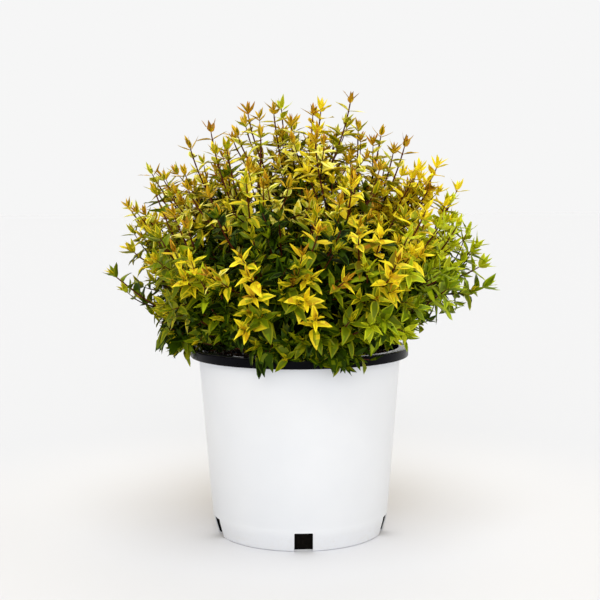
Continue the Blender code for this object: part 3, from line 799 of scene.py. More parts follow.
def soil_material(name, gloss=0.5):
    """Crumbly matter between its two colours."""
    dark, light, scale = SOILS[name]
    made = new_material(name, dark, 0.9, gloss)
    place = place_of(made)
    crumbs = noise_of(made, place, scale, 6.0, 0.7)
    return shade(
        made,
        Base_Color=ramp_of(made, crumbs, (0.32, dark), (0.68, light)),
        Roughness=ramp_of(made, crumbs, (0.3, 0.95), (0.7, 0.72)),
        Normal=bump_of(made, noise_of(made, place, scale * 2.2, 5.0, 0.7), 0.6, 0.0008),
    )


def bark_material():
    """Red-brown bark in fine upright strips, paler where it flakes."""
    made = new_material("bark", (0.36, 0.22, 0.15), 0.8)
    strips = noise_of(made, place_of(made, (1, 1, 0.22)), 420.0, 5.0, 0.65)
    browns = ((0.30, (0.20, 0.11, 0.08)), (0.55, (0.40, 0.24, 0.16)), (0.78, (0.56, 0.42, 0.31)))
    flakes = ramp_of(made, noise_of(made, place_of(made), 90.0, 4.0, 0.6), (0.52, 0.0), (0.70, 0.65))
    return shade(
        made,
        Base_Color=mix_of(made, flakes, ramp_of(made, strips, *browns), linear(0.60, 0.50, 0.41)),
        Roughness=ramp_of(made, strips, (0.3, 0.88), (0.8, 0.62)),
        Normal=bump_of(made, strips, 0.5, 0.0004),
    )


def leaf_materials():
    """One glossy material for each leaf colour, in the order of their table."""
    return [
        new_material(f"leaf_{name}", (red, green, blue), roughness, LEAF_GLOSS * max(red, green))
        for name, (red, green, blue, roughness) in LEAF_COLOURS.items()
    ]


def twig_materials():
    """Old wood, ripened twig, and young red shoot."""
    return [
        new_material("twig_old", (0.20, 0.12, 0.08), 0.65, TWIG_GLOSS),
        new_material("twig_ripe", (0.17, 0.085, 0.045), 0.50, TWIG_GLOSS),
        new_material("twig_young", (0.32, 0.13, 0.06), 0.45, TWIG_GLOSS),
    ]


# The pot

def arc(centre, radius, start_deg, end_deg, steps):
    """Points of (radius, height) on an arc."""
    angles = [radians(start_deg + (end_deg - start_deg) * k / steps) for k in range(steps + 1)]
    return [(centre[0] + radius * cos(angle), centre[1] + radius * sin(angle)) for angle in angles]


def lathe(name, profile, sides, material):
    """A mesh turned about the Z axis from a closed outline of (radius, height), where a radius may be 0."""
    shape = bmesh.new()
    angles = [2 * pi * k / sides for k in range(sides)]
    rings = []
    for radius, height in profile:
        if radius == 0:
            rings.append([shape.verts.new((0, 0, height))] * sides)
        else:
            rings.append([shape.verts.new((radius * cos(a), radius * sin(a), height)) for a in angles])
    for ring, after in zip(rings, rings[1:] + rings[:1]):
        for k in range(sides):
            beside = (k + 1) % sides
            face = list(dict.fromkeys((ring[k], ring[beside], after[beside], after[k])))
            if len(face) > 2:
                shape.faces.new(face)
    bmesh.ops.recalc_face_normals(shape, faces=shape.faces)
    made = mesh_of(name, shape)
    made.materials.append(material)
    smooth(made)
    return made


def wall_radius(height):
    """Outside radius of the white wall at a height above its tucked-in foot."""
    share = (height - TUCK_HEIGHT) / (WALL_TOP_HEIGHT - TUCK_HEIGHT)
    return TUCK_RADIUS + share * (WALL_TOP_RADIUS - TUCK_RADIUS)


def foot_outline(depth):
    """The foot's outline from its underside up to the tuck, moved inwards and up by depth."""
    heel = arc((HEEL_RADIUS - HEEL_ROUND - depth, depth + HEEL_ROUND), HEEL_ROUND, *HEEL_ARC_DEG, 7)
    return heel + arc((TUCK_RADIUS - depth - TUCK_ROUND, TUCK_HEIGHT + 0.004), TUCK_ROUND, *TUCK_ARC_DEG, 5)


def cut_notches(wall):
    """Cuts the drainage notches where the wall meets the underside."""
    cutters = []
    for angle in map(radians, NOTCH_ANGLES_DEG):
        box = bmesh.new()
        bmesh.ops.create_cube(box, size=1.0)
        bmesh.ops.scale(box, vec=(2 * NOTCH_DEPTH, NOTCH_WIDTH, 2 * NOTCH_HEIGHT), verts=box.verts)
        bmesh.ops.bevel(box, geom=box.edges[:], offset=NOTCH_ROUND, segments=2, affect="EDGES")
        cutter = show("notch_cutter", mesh_of("notch_cutter", box))
        cutter.location = (TUCK_RADIUS * cos(angle), TUCK_RADIUS * sin(angle), 0)
        cutter.rotation_euler = (0, 0, angle)
        cutters.append(cutter)
        cut = wall.modifiers.new("notch", "BOOLEAN")
        cut.operation = "DIFFERENCE"
        cut.object = cutter
    cut_mesh = bpy.data.meshes.new_from_object(wall.evaluated_get(bpy.context.evaluated_depsgraph_get()))
    wall.modifiers.clear()
    wall.data = cut_mesh
    smooth(cut_mesh)
    for cutter in cutters:
        bpy.data.objects.remove(cutter, do_unlink=True)


def make_pot(white, black, black_painted_reflection):
    """The white wall, and the black lining with its rolled lip, whose top is painted lighter grey: a painted
    reflection.
    """
    inner, outer = SKIN_THICKNESS, SKIN_THICKNESS + GAP
    outline = [(0, 0), (UNDERSIDE_RADIUS, 0)] + foot_outline(0)
    heights = np.linspace(WALL_FROM_HEIGHT, WALL_TOP_HEIGHT - 0.001, WALL_RINGS)
    outline += [(wall_radius(z), z) for z in heights]
    outline += [(WALL_TOP_RADIUS - inner, WALL_TOP_HEIGHT)] + foot_outline(inner)[::-1] + [(0, inner)]
    cut_notches(piece("pot_wall", lathe("pot_wall", outline, POT_SIDES, white), "pot_white", "pot_skin"))
    depth, small, hem = outer + LINING_THICKNESS, LIP_INNER_ROUND, LIP_HEM_ROUND
    top, under = POT_HEIGHT, POT_HEIGHT - LIP_THICKNESS
    outline = [(0, outer)] + foot_outline(outer) + [(WALL_TOP_RADIUS - outer, under)]
    outline += arc((LIP_RADIUS - LIP_THICKNESS - small, under - small), small, 90, 0, 3)
    outline += arc((LIP_RADIUS - hem, top - LIP_DEPTH + hem), hem, -180, 0, 6)
    outline += arc((LIP_RADIUS - LIP_ROUND, top - LIP_ROUND), LIP_ROUND, 0, 90, 8)
    outline += arc((WALL_TOP_RADIUS - depth + small, top - small), small, 90, 180, 4)
    outline += foot_outline(depth)[::-1] + [(0, depth)]
    lining = piece("pot_lip", lathe("pot_lip", outline, POT_SIDES, black), "pot_black", "pot_lining")
    cut_notches(lining)
    # The lip's upward faces at its top take the lighter grey of a painted reflection
    lining.data.materials.append(black_painted_reflection)
    for face in lining.data.polygons:
        if face.center.z > POT_HEIGHT - PAINTED_REFLECTION_BAND and face.normal.z > 0.6:
            face.material_index = 1


# The potting mix

MIX_DEPTH = SKIN_THICKNESS + LINING_THICKNESS + 3 * GAP
MIX_EDGE = wall_radius(MIX_EDGE_HEIGHT) - MIX_DEPTH


def mix_height(x, y):
    """The mix's surface height at a place, with its crumbs."""
    share = clamp((hypot(x, y) / MIX_EDGE - MIX_FLAT_SHARE) / (1 - MIX_FLAT_SHARE))
    level = MIX_MOUND_HEIGHT + share * (MIX_EDGE_HEIGHT - MIX_MOUND_HEIGHT)
    rough = noise.fractal(Vector((x, y, 0)) * 95, 0.8, 2.1, 4)
    rough += 0.8 * noise.fractal(Vector((x, y, 3)) * 320, 0.7, 2.1, 3)
    return level + MIX_RELIEF * (rough * 0.6 - 0.5)


def make_mix():
    """The body of the mix, with a crumbly top over a body painted near black as painted shade, and the chips,
    perlite and roots that lie in it.
    """
    outline = [(0, MIX_DEPTH)] + foot_outline(MIX_DEPTH) + [(MIX_EDGE, MIX_EDGE_HEIGHT)]
    outline += [(MIX_EDGE * (1 - k / MIX_RINGS), MIX_MOUND_HEIGHT) for k in range(1, MIX_RINGS)]
    made = lathe("mix_body", outline + [(0, MIX_MOUND_HEIGHT)], MIX_SIDES, soil_material("mix"))
    # Below its top band the mix's faces are painted near black: painted shade
    made.materials.append(soil_material("mix_painted_shade", 0.05))
    for face in made.polygons:
        face.material_index = 0 if face.center.z > MIX_EDGE_HEIGHT - MIX_TOP_BAND else 1
    for point in made.vertices:
        if point.co.z > MIX_EDGE_HEIGHT - CRUMB_BAND:
            point.co.z = mix_height(point.co.x, point.co.y)
    piece("mix_body", made, "potting_mix", "potting_mix")
    chance = random.Random(SEED + 7)
    for scatter in (scatter_chips, scatter_perlite, scatter_fibres, make_root_tangles):
        scatter(Batch(), chance)


def spot_on_mix(chance):
    """A place on the mix, away from the stem base and the wall."""
    out = sqrt(chance.uniform((KNUCKLE_FLARE_RADIUS * 0.9) ** 2, (MIX_EDGE - 0.004) ** 2))
    angle = chance.uniform(0, 2 * pi)
    x, y = out * cos(angle), out * sin(angle)
    return Vector((x, y, mix_height(x, y)))


def lump(chance, centre, sizes):
    """A rough lump: a squashed ball with each corner moved a little, turned at random."""
    shape = bmesh.new()
    bmesh.ops.create_icosphere(shape, subdivisions=1, radius=1.0)
    turn = Vector((chance.uniform(-1, 1), chance.uniform(-1, 1), chance.uniform(-0.3, 0.3)))
    spin = Vector((1, 0, 0)).rotation_difference(turn.normalized()).to_matrix()
    points = []
    for vertex in shape.verts:
        local = Vector((vertex.co.x * sizes[0], vertex.co.y * sizes[1], vertex.co.z * sizes[2]))
        points.append(centre + spin @ (local * chance.uniform(*LUMP_SCATTER)))
    corners = [v.index for face in shape.faces for v in face.verts]
    shape.free()
    return points, corners, [3] * (len(corners) // 3)


def scatter_chips(batch, chance):
    """Bark chips of three browns, lying in the mix."""
    for _ in range(CHIP_COUNT):
        length = chance.uniform(*CHIP_LENGTH) / 2
        centre = spot_on_mix(chance) + UP * (length * 0.15)
        sizes = (length, length * chance.uniform(*CHIP_WIDTH), length * chance.uniform(*CHIP_DEPTH))
        batch.add(lump(chance, centre, sizes), chance.randrange(3))
    browns = [soil_material(f"chip_{tone}") for tone in ("dark", "mid", "pale")]
    batch.piece("bark_chips", browns, "potting_mix").data.shade_flat()


def scatter_perlite(batch, chance):
    """White grains of perlite."""
    for _ in range(PERLITE_COUNT):
        radius = chance.uniform(*PERLITE_RADIUS)
        batch.add(lump(chance, spot_on_mix(chance) + UP * (radius * 0.8), (radius, radius, radius)))
    batch.piece("perlite", [soil_material("perlite")], "potting_mix")


def scatter_fibres(batch, chance):
    """Pale root fibres that loop out of the mix."""
    for _ in range(FIBRE_COUNT):
        points = [spot_on_mix(chance)]
        heading = chance.uniform(0, 2 * pi)
        for k in range(FIBRE_STEPS):
            heading += chance.uniform(-0.5, 0.5)
            beyond = points[-1] + Vector((cos(heading), sin(heading), 0)) * FIBRE_STEP
            if hypot(beyond.x, beyond.y) > MIX_EDGE - 0.002:
                break
            beyond.z = mix_height(beyond.x, beyond.y) + FIBRE_RISE * sin(pi * (k + 1) / FIBRE_STEPS)
            points.append(beyond)
        if len(points) > 3:
            batch.add(tube(points, FIBRE_RADIUS, 4))
    batch.piece("root_fibres", [soil_material("root_fibre")], "potting_mix")


def make_root_tangles(batch, chance):
    """Bare roots that loop up out of the mix beside the wall."""
    noise.seed_set(SEED)
    for x, y, height in ROOT_TANGLES:
        for _ in range(ROOTS_EACH):
            points = []
            heading = Vector((chance.uniform(-1, 1), chance.uniform(-1, 1), 0)) * ROOT_HALF_SPAN
            for share in (k / ROOT_STEPS for k in range(ROOT_STEPS + 1)):
                where = Vector((x * 90 + len(batch.points) * 3.1, share * 3.4, y * 90))
                wander = noise.noise_vector(where) * ROOT_WANDER * sin(pi * share)
                rise = height * chance.uniform(0.94, 1.06) * sin(pi * share) ** 0.7
                points.append(Vector((x, y, MIX_EDGE_HEIGHT)) + heading * (share - 0.5) * 2 + wander)
                points[-1] += UP * rise
            batch.add(tube(points, ROOT_RADIUS, 4))
    batch.piece("bare_roots", [soil_material("bare_root")], "potting_mix")


# The wood

def bark_push(point, along):
    """How far the bark stands out at a point of the wood: long strips that run with the grain, and knots."""
    grain = point - along * point.dot(along) * 0.88
    return BARK_RELIEF * (noise.fractal(grain * 900, 0.7, 2.0, 3) + 1.2 * noise.noise(point * 130))


def make_stem_base(bark):
    """The knuckle on its flared foot, with old bark."""
    foot = MIX_MOUND_HEIGHT + GAP
    outline = [(0, foot), (KNUCKLE_FLARE_RADIUS, foot)]
    knuckle = arc((0, HUB_HEIGHT), KNUCKLE_RADIUS, KNUCKLE_WAIST_DEG, 90, KNUCKLE_RINGS)
    waist, waist_height = knuckle[0]
    for share in (k / FLARE_RINGS for k in range(1, FLARE_RINGS)):
        radius = KNUCKLE_FLARE_RADIUS + (waist - KNUCKLE_FLARE_RADIUS) * sin(share * pi / 2)
        outline.append((radius, foot + (waist_height - foot) * share))
    outline += knuckle[:-1] + [(0, knuckle[-1][1])]
    made = lathe("stem_base_bark", outline, KNUCKLE_SIDES, bark)
    for vertex in made.vertices:
        if vertex.co.z > foot + 0.0002:
            out = (vertex.co - HUB).normalized()
            vertex.co += out * KNUCKLE_RELIEF_GAIN * bark_push(vertex.co, UP)
    made.set_sharp_from_angle(angle=radians(KNUCKLE_SHARP_DEG))
    piece("stem_base_bark", made, "bark", "stem_base")


def bough_path(toward, tip_distance, chance):
    """The bough's own line, from inside the knuckle's bark to its mass's foot."""
    root_distance = KNUCKLE_RADIUS + GAP
    bow = side_of(toward) * chance.uniform(-1, 1) * BOUGH_BOW
    points = []
    for share in (k / BOUGH_STEPS for k in range(-2, BOUGH_STEPS + 1)):
        bent = clamp((share - BOUGH_STRAIGHT_ENDS) / (1 - 2 * BOUGH_STRAIGHT_ENDS))
        along = root_distance + share * (tip_distance + GAP - root_distance)
        points.append(HUB + toward * along + bow * sin(pi * bent))
    return points


def make_boughs(bark, plan):
    """All boughs, with the bark's relief, each swelling into a collar where it leaves the knuckle."""
    batch = Batch()
    for index, (_, toward, tip_distance) in enumerate(plan):
        path = bough_path(toward, tip_distance, random.Random(SEED + 50 + index))
        shares = np.linspace(0, 1, len(path))
        radii = BOUGH_ROOT_RADIUS + (BOUGH_TIP_RADIUS - BOUGH_ROOT_RADIUS) * shares
        shape = tube(path, radii + COLLAR_SWELL * np.exp(-shares * COLLAR_FALL), BOUGH_SIDES)
        for k, point in enumerate(shape[0]):
            out = point - np.array(path[k // BOUGH_SIDES])
            point += out / np.linalg.norm(out) * bark_push(Vector(point), toward)
        batch.add(shape)
    batch.piece("boughs_bark", [bark], "bark", *(f"{label}_bough" for label, _, _ in plan))


# The crown

def risen_share(away, span_deg):
    """How far a vector's elevation is through a span of degrees, from 0 to 1."""
    elevation = degrees(atan2(away.z, hypot(away.x, away.y)))
    return clamp((elevation - span_deg[0]) / (span_deg[1] - span_deg[0]))


def spray_kind(point, chance):
    """The kind of spray at a place: that of the nearest patch, within its width and some blur."""
    away = point - HUB
    elevation = atan2(away.z, hypot(away.x, away.y))
    here = direction(elevation, atan2(away.y, away.x))
    best, found = 1.0, chance.choice(LOW_KINDS if degrees(elevation) < LOW_KINDS_TO_DEG else USUAL_KINDS)
    for patch_azimuth, patch_elevation, width, kind in PATCHES:
        apart = degrees(here.angle(direction_deg(patch_elevation, patch_azimuth)))
        apart = (apart + chance.uniform(-1, 1) * PATCH_BLUR_DEG) / width
        if apart < best:
            best, found = apart, kind
    return found


def bezier(start, first, second, end):
    """Points of a cubic curve, about PATH_STEP apart."""
    steps = max(4, int((end - start).length / PATH_STEP))
    points = []
    for t in (k / steps for k in range(steps + 1)):
        s = 1 - t
        points.append(start * s ** 3 + first * 3 * s * s * t + second * 3 * s * t * t + end * t ** 3)
    return points


def is_clear(path):
    """Whether a shoot's line keeps clear of the pot, past its start."""
    return all(clear_of_pot(point) for point in path[1:])


def leader_path(start, toward, tip, upturn):
    """A leading shoot's line: it leaves along its mass's direction, and turns up to its tip."""
    span = (tip - start).length
    first = start + toward * span * LEADER_EASES[0]
    if tip.z < HUB_HEIGHT + 2 * SKIRT_LIFT:
        first.z += SKIRT_LIFT
        upturn = SKIRT_UPTURN
    heading = ((tip - start).normalized() + UP * upturn).normalized()
    return bezier(start, first, tip - heading * span * LEADER_EASES[1], tip)


def hanging_path(start, toward, tip, heading):
    """The line of a shoot that goes out over the lip and hangs to its tip."""
    span, rise = (tip - start).length, HANGING_RISE
    while True:
        first = start + toward * span * HANGING_EASE + UP * rise
        path = bezier(start, first, tip - heading * HANGING_END + UP * (0.6 * rise + HANGING_END), tip)
        if rise > HANGING_MOST_RISE or is_clear(path):
            return path
        rise += HANGING_RISE_STEP


def side_shoot(parent, rule, chance):
    """A side shoot's path, by its rule, or None where it has no room."""
    shares, lengths, leans_deg, reach = rule
    at = int(chance.uniform(*shares) * (len(parent) - 1))
    start = parent[at]
    along = (parent[min(at + 1, len(parent) - 1)] - parent[max(at - 1, 0)]).normalized()
    out = out_from(along, chance.uniform(0, 2 * pi))
    leave = turned(along, out, radians(chance.uniform(*leans_deg)))
    length = chance.uniform(*lengths)
    end = start + (leave + UP * SIDE_LIFT).normalized() * length
    away = end - HUB
    limit = reach * crown_reach(away.normalized())
    if away.length > limit:
        end = HUB + away * (limit / away.length)
    if (end - start).length < SHORTEST_SHARE * lengths[0]:
        return None
    last = end - (end - start) * SIDE_EASES[1] - UP * SIDE_SAG
    path = bezier(start, start + leave * length * SIDE_EASES[0], last, end)
    return path if is_clear(path) else None


def new_shoot(path, radii, level, kind, open_share, size, chance):
    """A shoot with tapering radii, its first pair of leaves turned at random."""
    return Shoot(path, np.linspace(*radii, len(path)), level, kind, open_share, size, chance.uniform(0, pi))


def grow_mass(index, plan, tips):
    """All shoots of a mass: its stem, leading shoots with their sides, hanging shoots, and inner ones."""
    chance = random.Random(SEED + 200 + index)
    label, toward, bough_end = plan[index]
    foot = HUB + toward * (bough_end + GAP)
    stem_length = STEM_SHARE * (crown_reach(toward) - bough_end)
    stem = [foot + toward * stem_length * k / STEM_STEPS for k in range(STEM_STEPS + 1)]
    # The stem takes the "deep" kind: dark greens, partly painted shade
    shoots = [new_shoot(stem, STEM_RADII, STEM, "deep", 0.0, 1.0, chance)]
    low, high = SHOOT_STEM_SHARES
    for number, tip in enumerate(tips):
        share = low + (high - low) * (number + 0.5) / len(tips)
        shoots += leader_and_sides(foot + toward * stem_length * share, toward, tip, chance)
    for azimuth, out, height in HANGING_SHOOTS:
        heading = direction_deg(0.0, azimuth)
        end = heading * out + UP * height
        if owner(end, plan) == index:
            path = hanging_path(foot + toward * stem_length * HANGING_FROM_SHARE, toward, end, heading)
            shoots.append(new_shoot(path, SIDE_RADII, HANGING, "hanging", 0.0, HANGING_SIZE, chance))
    # Inner shoots take the "deep" kind too, partly painted shade
    for _ in range(INNER_SHOOTS[label.partition("_")[0]]):
        side = side_shoot(stem, INNER_RULE, chance)
        if side:
            shoots.append(new_shoot(side, SIDE_RADII, SIDE, "deep", 0.0, 1.0, chance))
    return shoots


def leader_and_sides(start, toward, tip, chance):
    """A leading shoot from its mass's stem to its tip, and the side shoots that it bears."""
    open_share = risen_share(tip.place - HUB, OPEN_DEG)
    upturn = chance.uniform(*TIP_UPTURN) + OPEN_UPTURN * open_share
    path = leader_path(start, toward, tip.place, upturn)
    if not is_clear(path):
        path = leader_path(start, toward, tip.place + UP * LEADER_LIFT, upturn)
    kind = tip.kind or spray_kind(tip.place, chance)
    kind = "green" if tip.feature and kind == "deep" else kind
    size = tip.size * KIND_SIZES.get(kind, 1.0)
    shoots = [new_shoot(path, LEADER_RADII, LEADER, kind, open_share, size, chance)]
    side_rule = (*SIDE_RULE, SIDE_REACH_LOW + (SIDE_REACH_TOP - SIDE_REACH_LOW) * open_share)
    count = chance.randint(*SIDE_SHOOTS_EACH) - round(OPEN_SIDE_LOSS * open_share)
    count = FEATURE_SIDE_SHOOTS if tip.feature else count
    sides = [side_shoot(path, side_rule, chance) for _ in range(count)]
    if not tip.feature:
        count = chance.randint(*OUTER_SHOOTS_EACH) - round(open_share)
        sides += [side_shoot(path, OUTER_RULE, chance) for _ in range(count)]
    for side in filter(None, sides):
        same = chance.random() < SAME_KIND_CHANCE and not tip.feature
        near = kind if same else spray_kind(side[-1], chance)
        shoots.append(new_shoot(side, SIDE_RADII, SIDE, near, open_share, KIND_SIZES.get(near, 1.0), chance))
    return shoots


def form_of(points, faces, zones):
    """A leaf form from its points, its faces, and their zones: 0 for the middle, 1 a streak, 2 the margin."""
    corners = [index for face in faces for index in face]
    return LeafForm(*map(np.array, (points, corners, [len(face) for face in faces], zones)))


def leaf_form(rows, habit, broad, chance):
    """One leaf of length 1 along +Y, its upper face to +Z: folded at the midrib, bent, and pointed."""
    fold = tan(radians(chance.uniform(*FOLD_DEG)))
    half_share, curls, rises = HABITS[habit]
    curl, rise = chance.uniform(*curls), chance.uniform(*rises)
    twist = chance.uniform(-LEAF_TWIST, LEAF_TWIST)
    sway = chance.uniform(-1, 1) * LEAF_SWAY
    ripple, phase = chance.uniform(0.0, LEAF_RIPPLE), chance.uniform(0, 2 * pi)
    half_share *= chance.uniform(*LEAF_FULLNESS)
    borders = [chance.uniform(*BORDERS[broad]) for _ in range(2)]
    points, y, z = [(0.0, 0.0, 0.0)], 0.0, 0.0
    for before, t in zip(rows, rows[1:-1]):
        y, z = bend(y, z, before, t, curl, rise)
        half = half_share * sin(pi * t ** 0.72) ** 0.9 * (1.10 - 0.42 * t ** 2)
        for side, base in zip((-1, 1), borders):
            border = clamp(base + chance.uniform(-BORDER_WANDER, BORDER_WANDER), *BORDER_LIMITS)
            for share, drop in ((1.0, 0.86), (border * (1 - 0.5 * t ** 4), 1.0)):
                lift = half * share * (fold * drop + side * sin(twist * t))
                lift += ripple * share * sin(9 * t + phase + side)
                points.append((side * half * share + sway * t * t, y, z + lift))
        points.append((sway * t * t, y, z))
    points.append((sway, *bend(y, z, rows[-2], rows[-1], curl, rise)))
    return form_of(points, *leaf_faces(len(rows), broad, chance))


def bend(y, z, before, t, curl, rise):
    """The midrib's next place, from one share of the leaf's length to the next."""
    heading = rise - curl * ((before + t) / 2) ** 1.4
    return y + (t - before) * cos(heading), z + (t - before) * sin(heading)


def leaf_faces(row_count, broad, chance):
    """Faces between a leaf's rows. A row has left edge and border, right edge and border, and midrib."""
    faces, zones = [], []
    tip = 1 + 5 * (row_count - 2)
    for row in range(row_count - 1):
        low, high = 1 + 5 * (row - 1), 1 + 5 * row
        last = row == row_count - 2
        for first, second, zone in ((0, 1, 2), (1, 4, 0), (4, 3, 0), (3, 2, 2)):
            if row == 0:
                faces.append((0, high + second, high + first))
            elif last:
                faces.append((low + first, low + second, tip))
            else:
                faces.append((low + first, low + second, high + second, high + first))
            if chance.random() < (STREAKS_IN_MARGIN[broad] if zone else STREAKS_IN_MIDDLE):
                zone = 1
            zones.append(2 if last and broad else zone)
    return faces, zones


def plain_form(chance):
    """A leaf for the crown's dark inside: two folded halves with no margin."""
    fold = tan(radians(chance.uniform(*PLAIN_FOLD_DEG)))
    curl = chance.uniform(*PLAIN_CURL)
    points = [(0.0, 0.0, 0.0)]
    for t in PLAIN_ROWS:
        half = HABITS["mature"][0] * sin(pi * t ** 0.72) * 1.1
        z = -curl * 0.4 * t * t
        points += [(-half, t, z + half * fold), (half, t, z + half * fold), (0.0, t, z)]
    points.append((0.0, 0.95, -curl * 0.4))
    faces = [(0, 3, 1), (0, 2, 3), (1, 3, 6, 4), (3, 2, 5, 6), (4, 6, 7), (6, 5, 7)]
    return form_of(points, faces, [chance.randrange(2)] * len(faces))


def leaf_forms():
    """The leaf shapes to draw from: plain ones, and for each habit those with a narrow and a broad margin."""
    chance = random.Random(SEED + 11)
    forms = {"plain": [plain_form(chance) for _ in range(PLAIN_FORMS)]}
    for habit in HABITS:
        for broad in (False, True):
            rows = TUFT_ROWS if habit == "young" else LEAF_ROWS
            forms[habit, broad] = [leaf_form(rows, habit, broad, chance) for _ in range(FORMS_EACH)]
    return forms


def add_leaf(batch, forms, root, grows, up, length, palette, habit, chance):
    """Puts one leaf in the batch, unless its middle or tip would come too near the pot."""
    across = grows.cross(up).normalized()
    form = chance.choice(forms["plain" if palette in DEEP_PALETTES else (habit, palette in BROAD_MARGINS)])
    turn = np.array([across * chance.uniform(*WIDTH_SCATTER), grows, across.cross(grows)])
    points = np.array(root) + (form.points * length) @ turn
    if all(clear_of_pot(sample) for sample in points[[len(points) // 2, -1]]):
        batch.add((points, form.corners, form.sizes), PALETTE_FINISHES[palette][form.zones])


def palette_by_age_and_painted_shade(palettes, age, place, chance):
    """The palette for a pair of that age, with darker greens where it sits deep in the crown and low: partly
    older leaves, partly painted shade, which lessens at the top and sides.
    """
    away = place - HUB
    side_share = away.x ** 2 / (away.x ** 2 + away.y ** 2)
    depth = away.length / crown_reach(away.normalized())
    depth += max(TOP_SHADE_LOSS * risen_share(away, TOP_SHADE_DEG), SIDE_SHADE_LOSS * side_share)
    if depth < DEEP_SHADE:
        return chance.choice(DEEP_PALETTES)
    if depth < SHADE and chance.random() < SHADE_CHANCE:
        return chance.choice(SHADE_PALETTES)
    return palettes[min(age + (chance.random() < SLIP_CHANCE), len(palettes) - 1)]


def measured(path):
    """A path as an array, and how far along it each point is."""
    path = np.array(path)
    return path, np.concatenate(([0], np.cumsum(np.linalg.norm(np.diff(path, axis=0), axis=1))))


def points_at(places, path, lengths):
    """The points at those distances along a measured path."""
    return np.stack([np.interp(places, lengths, path[:, k]) for k in range(3)], axis=-1)


def bear_leaves(batch, forms, shoot, chance):
    """The leaves of one shoot, from its tip down: the tuft, then pairs, each a quarter turn from the last."""
    path, lengths = measured(shoot.path)
    total = lengths[-1]
    vigour = chance.uniform(*SIZE_SCATTER) * (SIDE_VIGOUR if shoot.level == SIDE else 1.0)
    leaf_gain = shoot.size * (1 + LOW_LEAF_GAIN * (1 - shoot.open))
    below, turn, nodes = 0.0, shoot.turn, []
    while below < total * (1 - BARE_SHARE):
        pair = len(nodes)
        if pair < len(TUFT_PAIRS) and shoot.level in (LEADER, SIDE):
            below, lean_deg, length = TUFT_PAIRS[pair]
        else:
            gain = OPEN_SPACING_GAIN if shoot.level == LEADER and pair < OPEN_PAIRS else INNER_SPACING_GAIN
            spacing = leaf_gain + gain * shoot.open
            below += chance.uniform(*PAIR_SPACING) * vigour * spacing if pair else END_PAIR_BELOW
            lean_deg = chance.uniform(*PAIR_LEAN_DEG) if pair else END_PAIR_LEAN_DEG
            length = LEAF_LENGTH * chance.uniform(1 - LEAF_SCATTER, 1 + LEAF_SCATTER)
            length *= 1 - OPEN_LEAF_LOSS * shoot.open * max(0.0, 1 - (pair - 3) / 5)
        at = total - below
        if at < total * BARE_SHARE:
            break
        spots = (max(at - NODE_REACH, 0), at, min(at + NODE_REACH, total))
        behind, place, ahead = (Vector(points_at(spot, path, lengths)) for spot in spots)
        along, size = (ahead - behind).normalized(), length * vigour * leaf_gain
        add_pair(batch, forms, place, along, turn, lean_deg, size, pair, shoot, chance)
        nodes.append(at)
        turn += pi / 2 + chance.uniform(-TURN_WANDER, TURN_WANDER)
    return nodes


def square_part(vector, unit):
    """The part of a vector that is square to a unit vector."""
    return vector - unit * vector.dot(unit)


def add_pair(batch, forms, place, along, turn, lean_deg, length, pair, shoot, chance):
    """Two opposite leaves at a node, and sometimes the small leaves of a bud in their axil."""
    hanging, light_turn = shoot.level == HANGING, Vector((0, 0, 0))
    habit = "hanging" if hanging else "level" if chance.random() < shoot.open else "mature"
    if pair < YOUNG_PAIRS and shoot.level in (LEADER, SIDE):
        habit = "young"
    age = round(pair * (1 - OPEN_AGE_LOSS * shoot.open))
    palette = palette_by_age_and_painted_shade(KIND_PALETTES[shoot.kind], age, place, chance)
    low = max(0.0, 1 - max(0.0, place.z - POT_HEIGHT) / LOW_DEPTH)
    droop = (DROOP * (1 - OPEN_DROOP_LOSS * shoot.open) + LOW_DROOP * low) * min(1.0, pair / GROWN_PAIRS)
    for half_turn in (0, pi):
        out = out_from(along, turn + half_turn + chance.uniform(-TURN_WANDER, TURN_WANDER))
        grows = turned(along, out, radians(lean_deg + chance.uniform(-LEAN_WANDER_DEG, LEAN_WANDER_DEG)))
        sag = droop * chance.uniform(*DROOP_SCATTER)
        if hanging:
            sag = HANGING_DROOPS[place.y < EAVES_FRONT] * low * chance.uniform(*HANGING_SCATTER)
            light_turn = Vector((chance.uniform(-1, 1), chance.uniform(-1, 0), 0)) * HANGING_TWIST
        grows = (grows - UP * sag).normalized()
        outward = (place - HUB).normalized()
        light = along * TWIG_PULL + UP * SKY_PULL + outward * OUTWARD_PULL + light_turn
        up = square_part(light, grows)
        if up.length < 0.1:
            up = square_part(along, grows)
        size = length * chance.uniform(*SIZE_SCATTER)
        add_leaf(batch, forms, place, grows, up.normalized(), size, palette, habit, chance)
        if pair > YOUNG_PAIRS and not hanging and chance.random() < BUD_SHARE - OPEN_BUD_LOSS * shoot.open:
            add_bud(batch, forms, place, along, out, palette, chance)


def add_bud(batch, forms, place, along, out, palette, chance):
    """The small leaves of an axillary bud, between a leaf and the twig."""
    bud = turned(along, out, radians(chance.uniform(*BUD_LEAN_DEG))).normalized()
    root = place + bud * BUD_STALK
    start = chance.uniform(0, pi)
    inner, outer, wander = BUD_SPREADS_DEG
    for k in range(BUD_LEAVES):
        spread = radians(inner + outer * (k % 2) + chance.uniform(-wander, wander))
        grows = turned(bud, out_from(bud, start + k * pi / 2), spread).normalized()
        up, length = square_part(bud, grows).normalized(), chance.uniform(*BUD_LEAF_LENGTH)
        add_leaf(batch, forms, root, grows, up, length, palette, "young", chance)


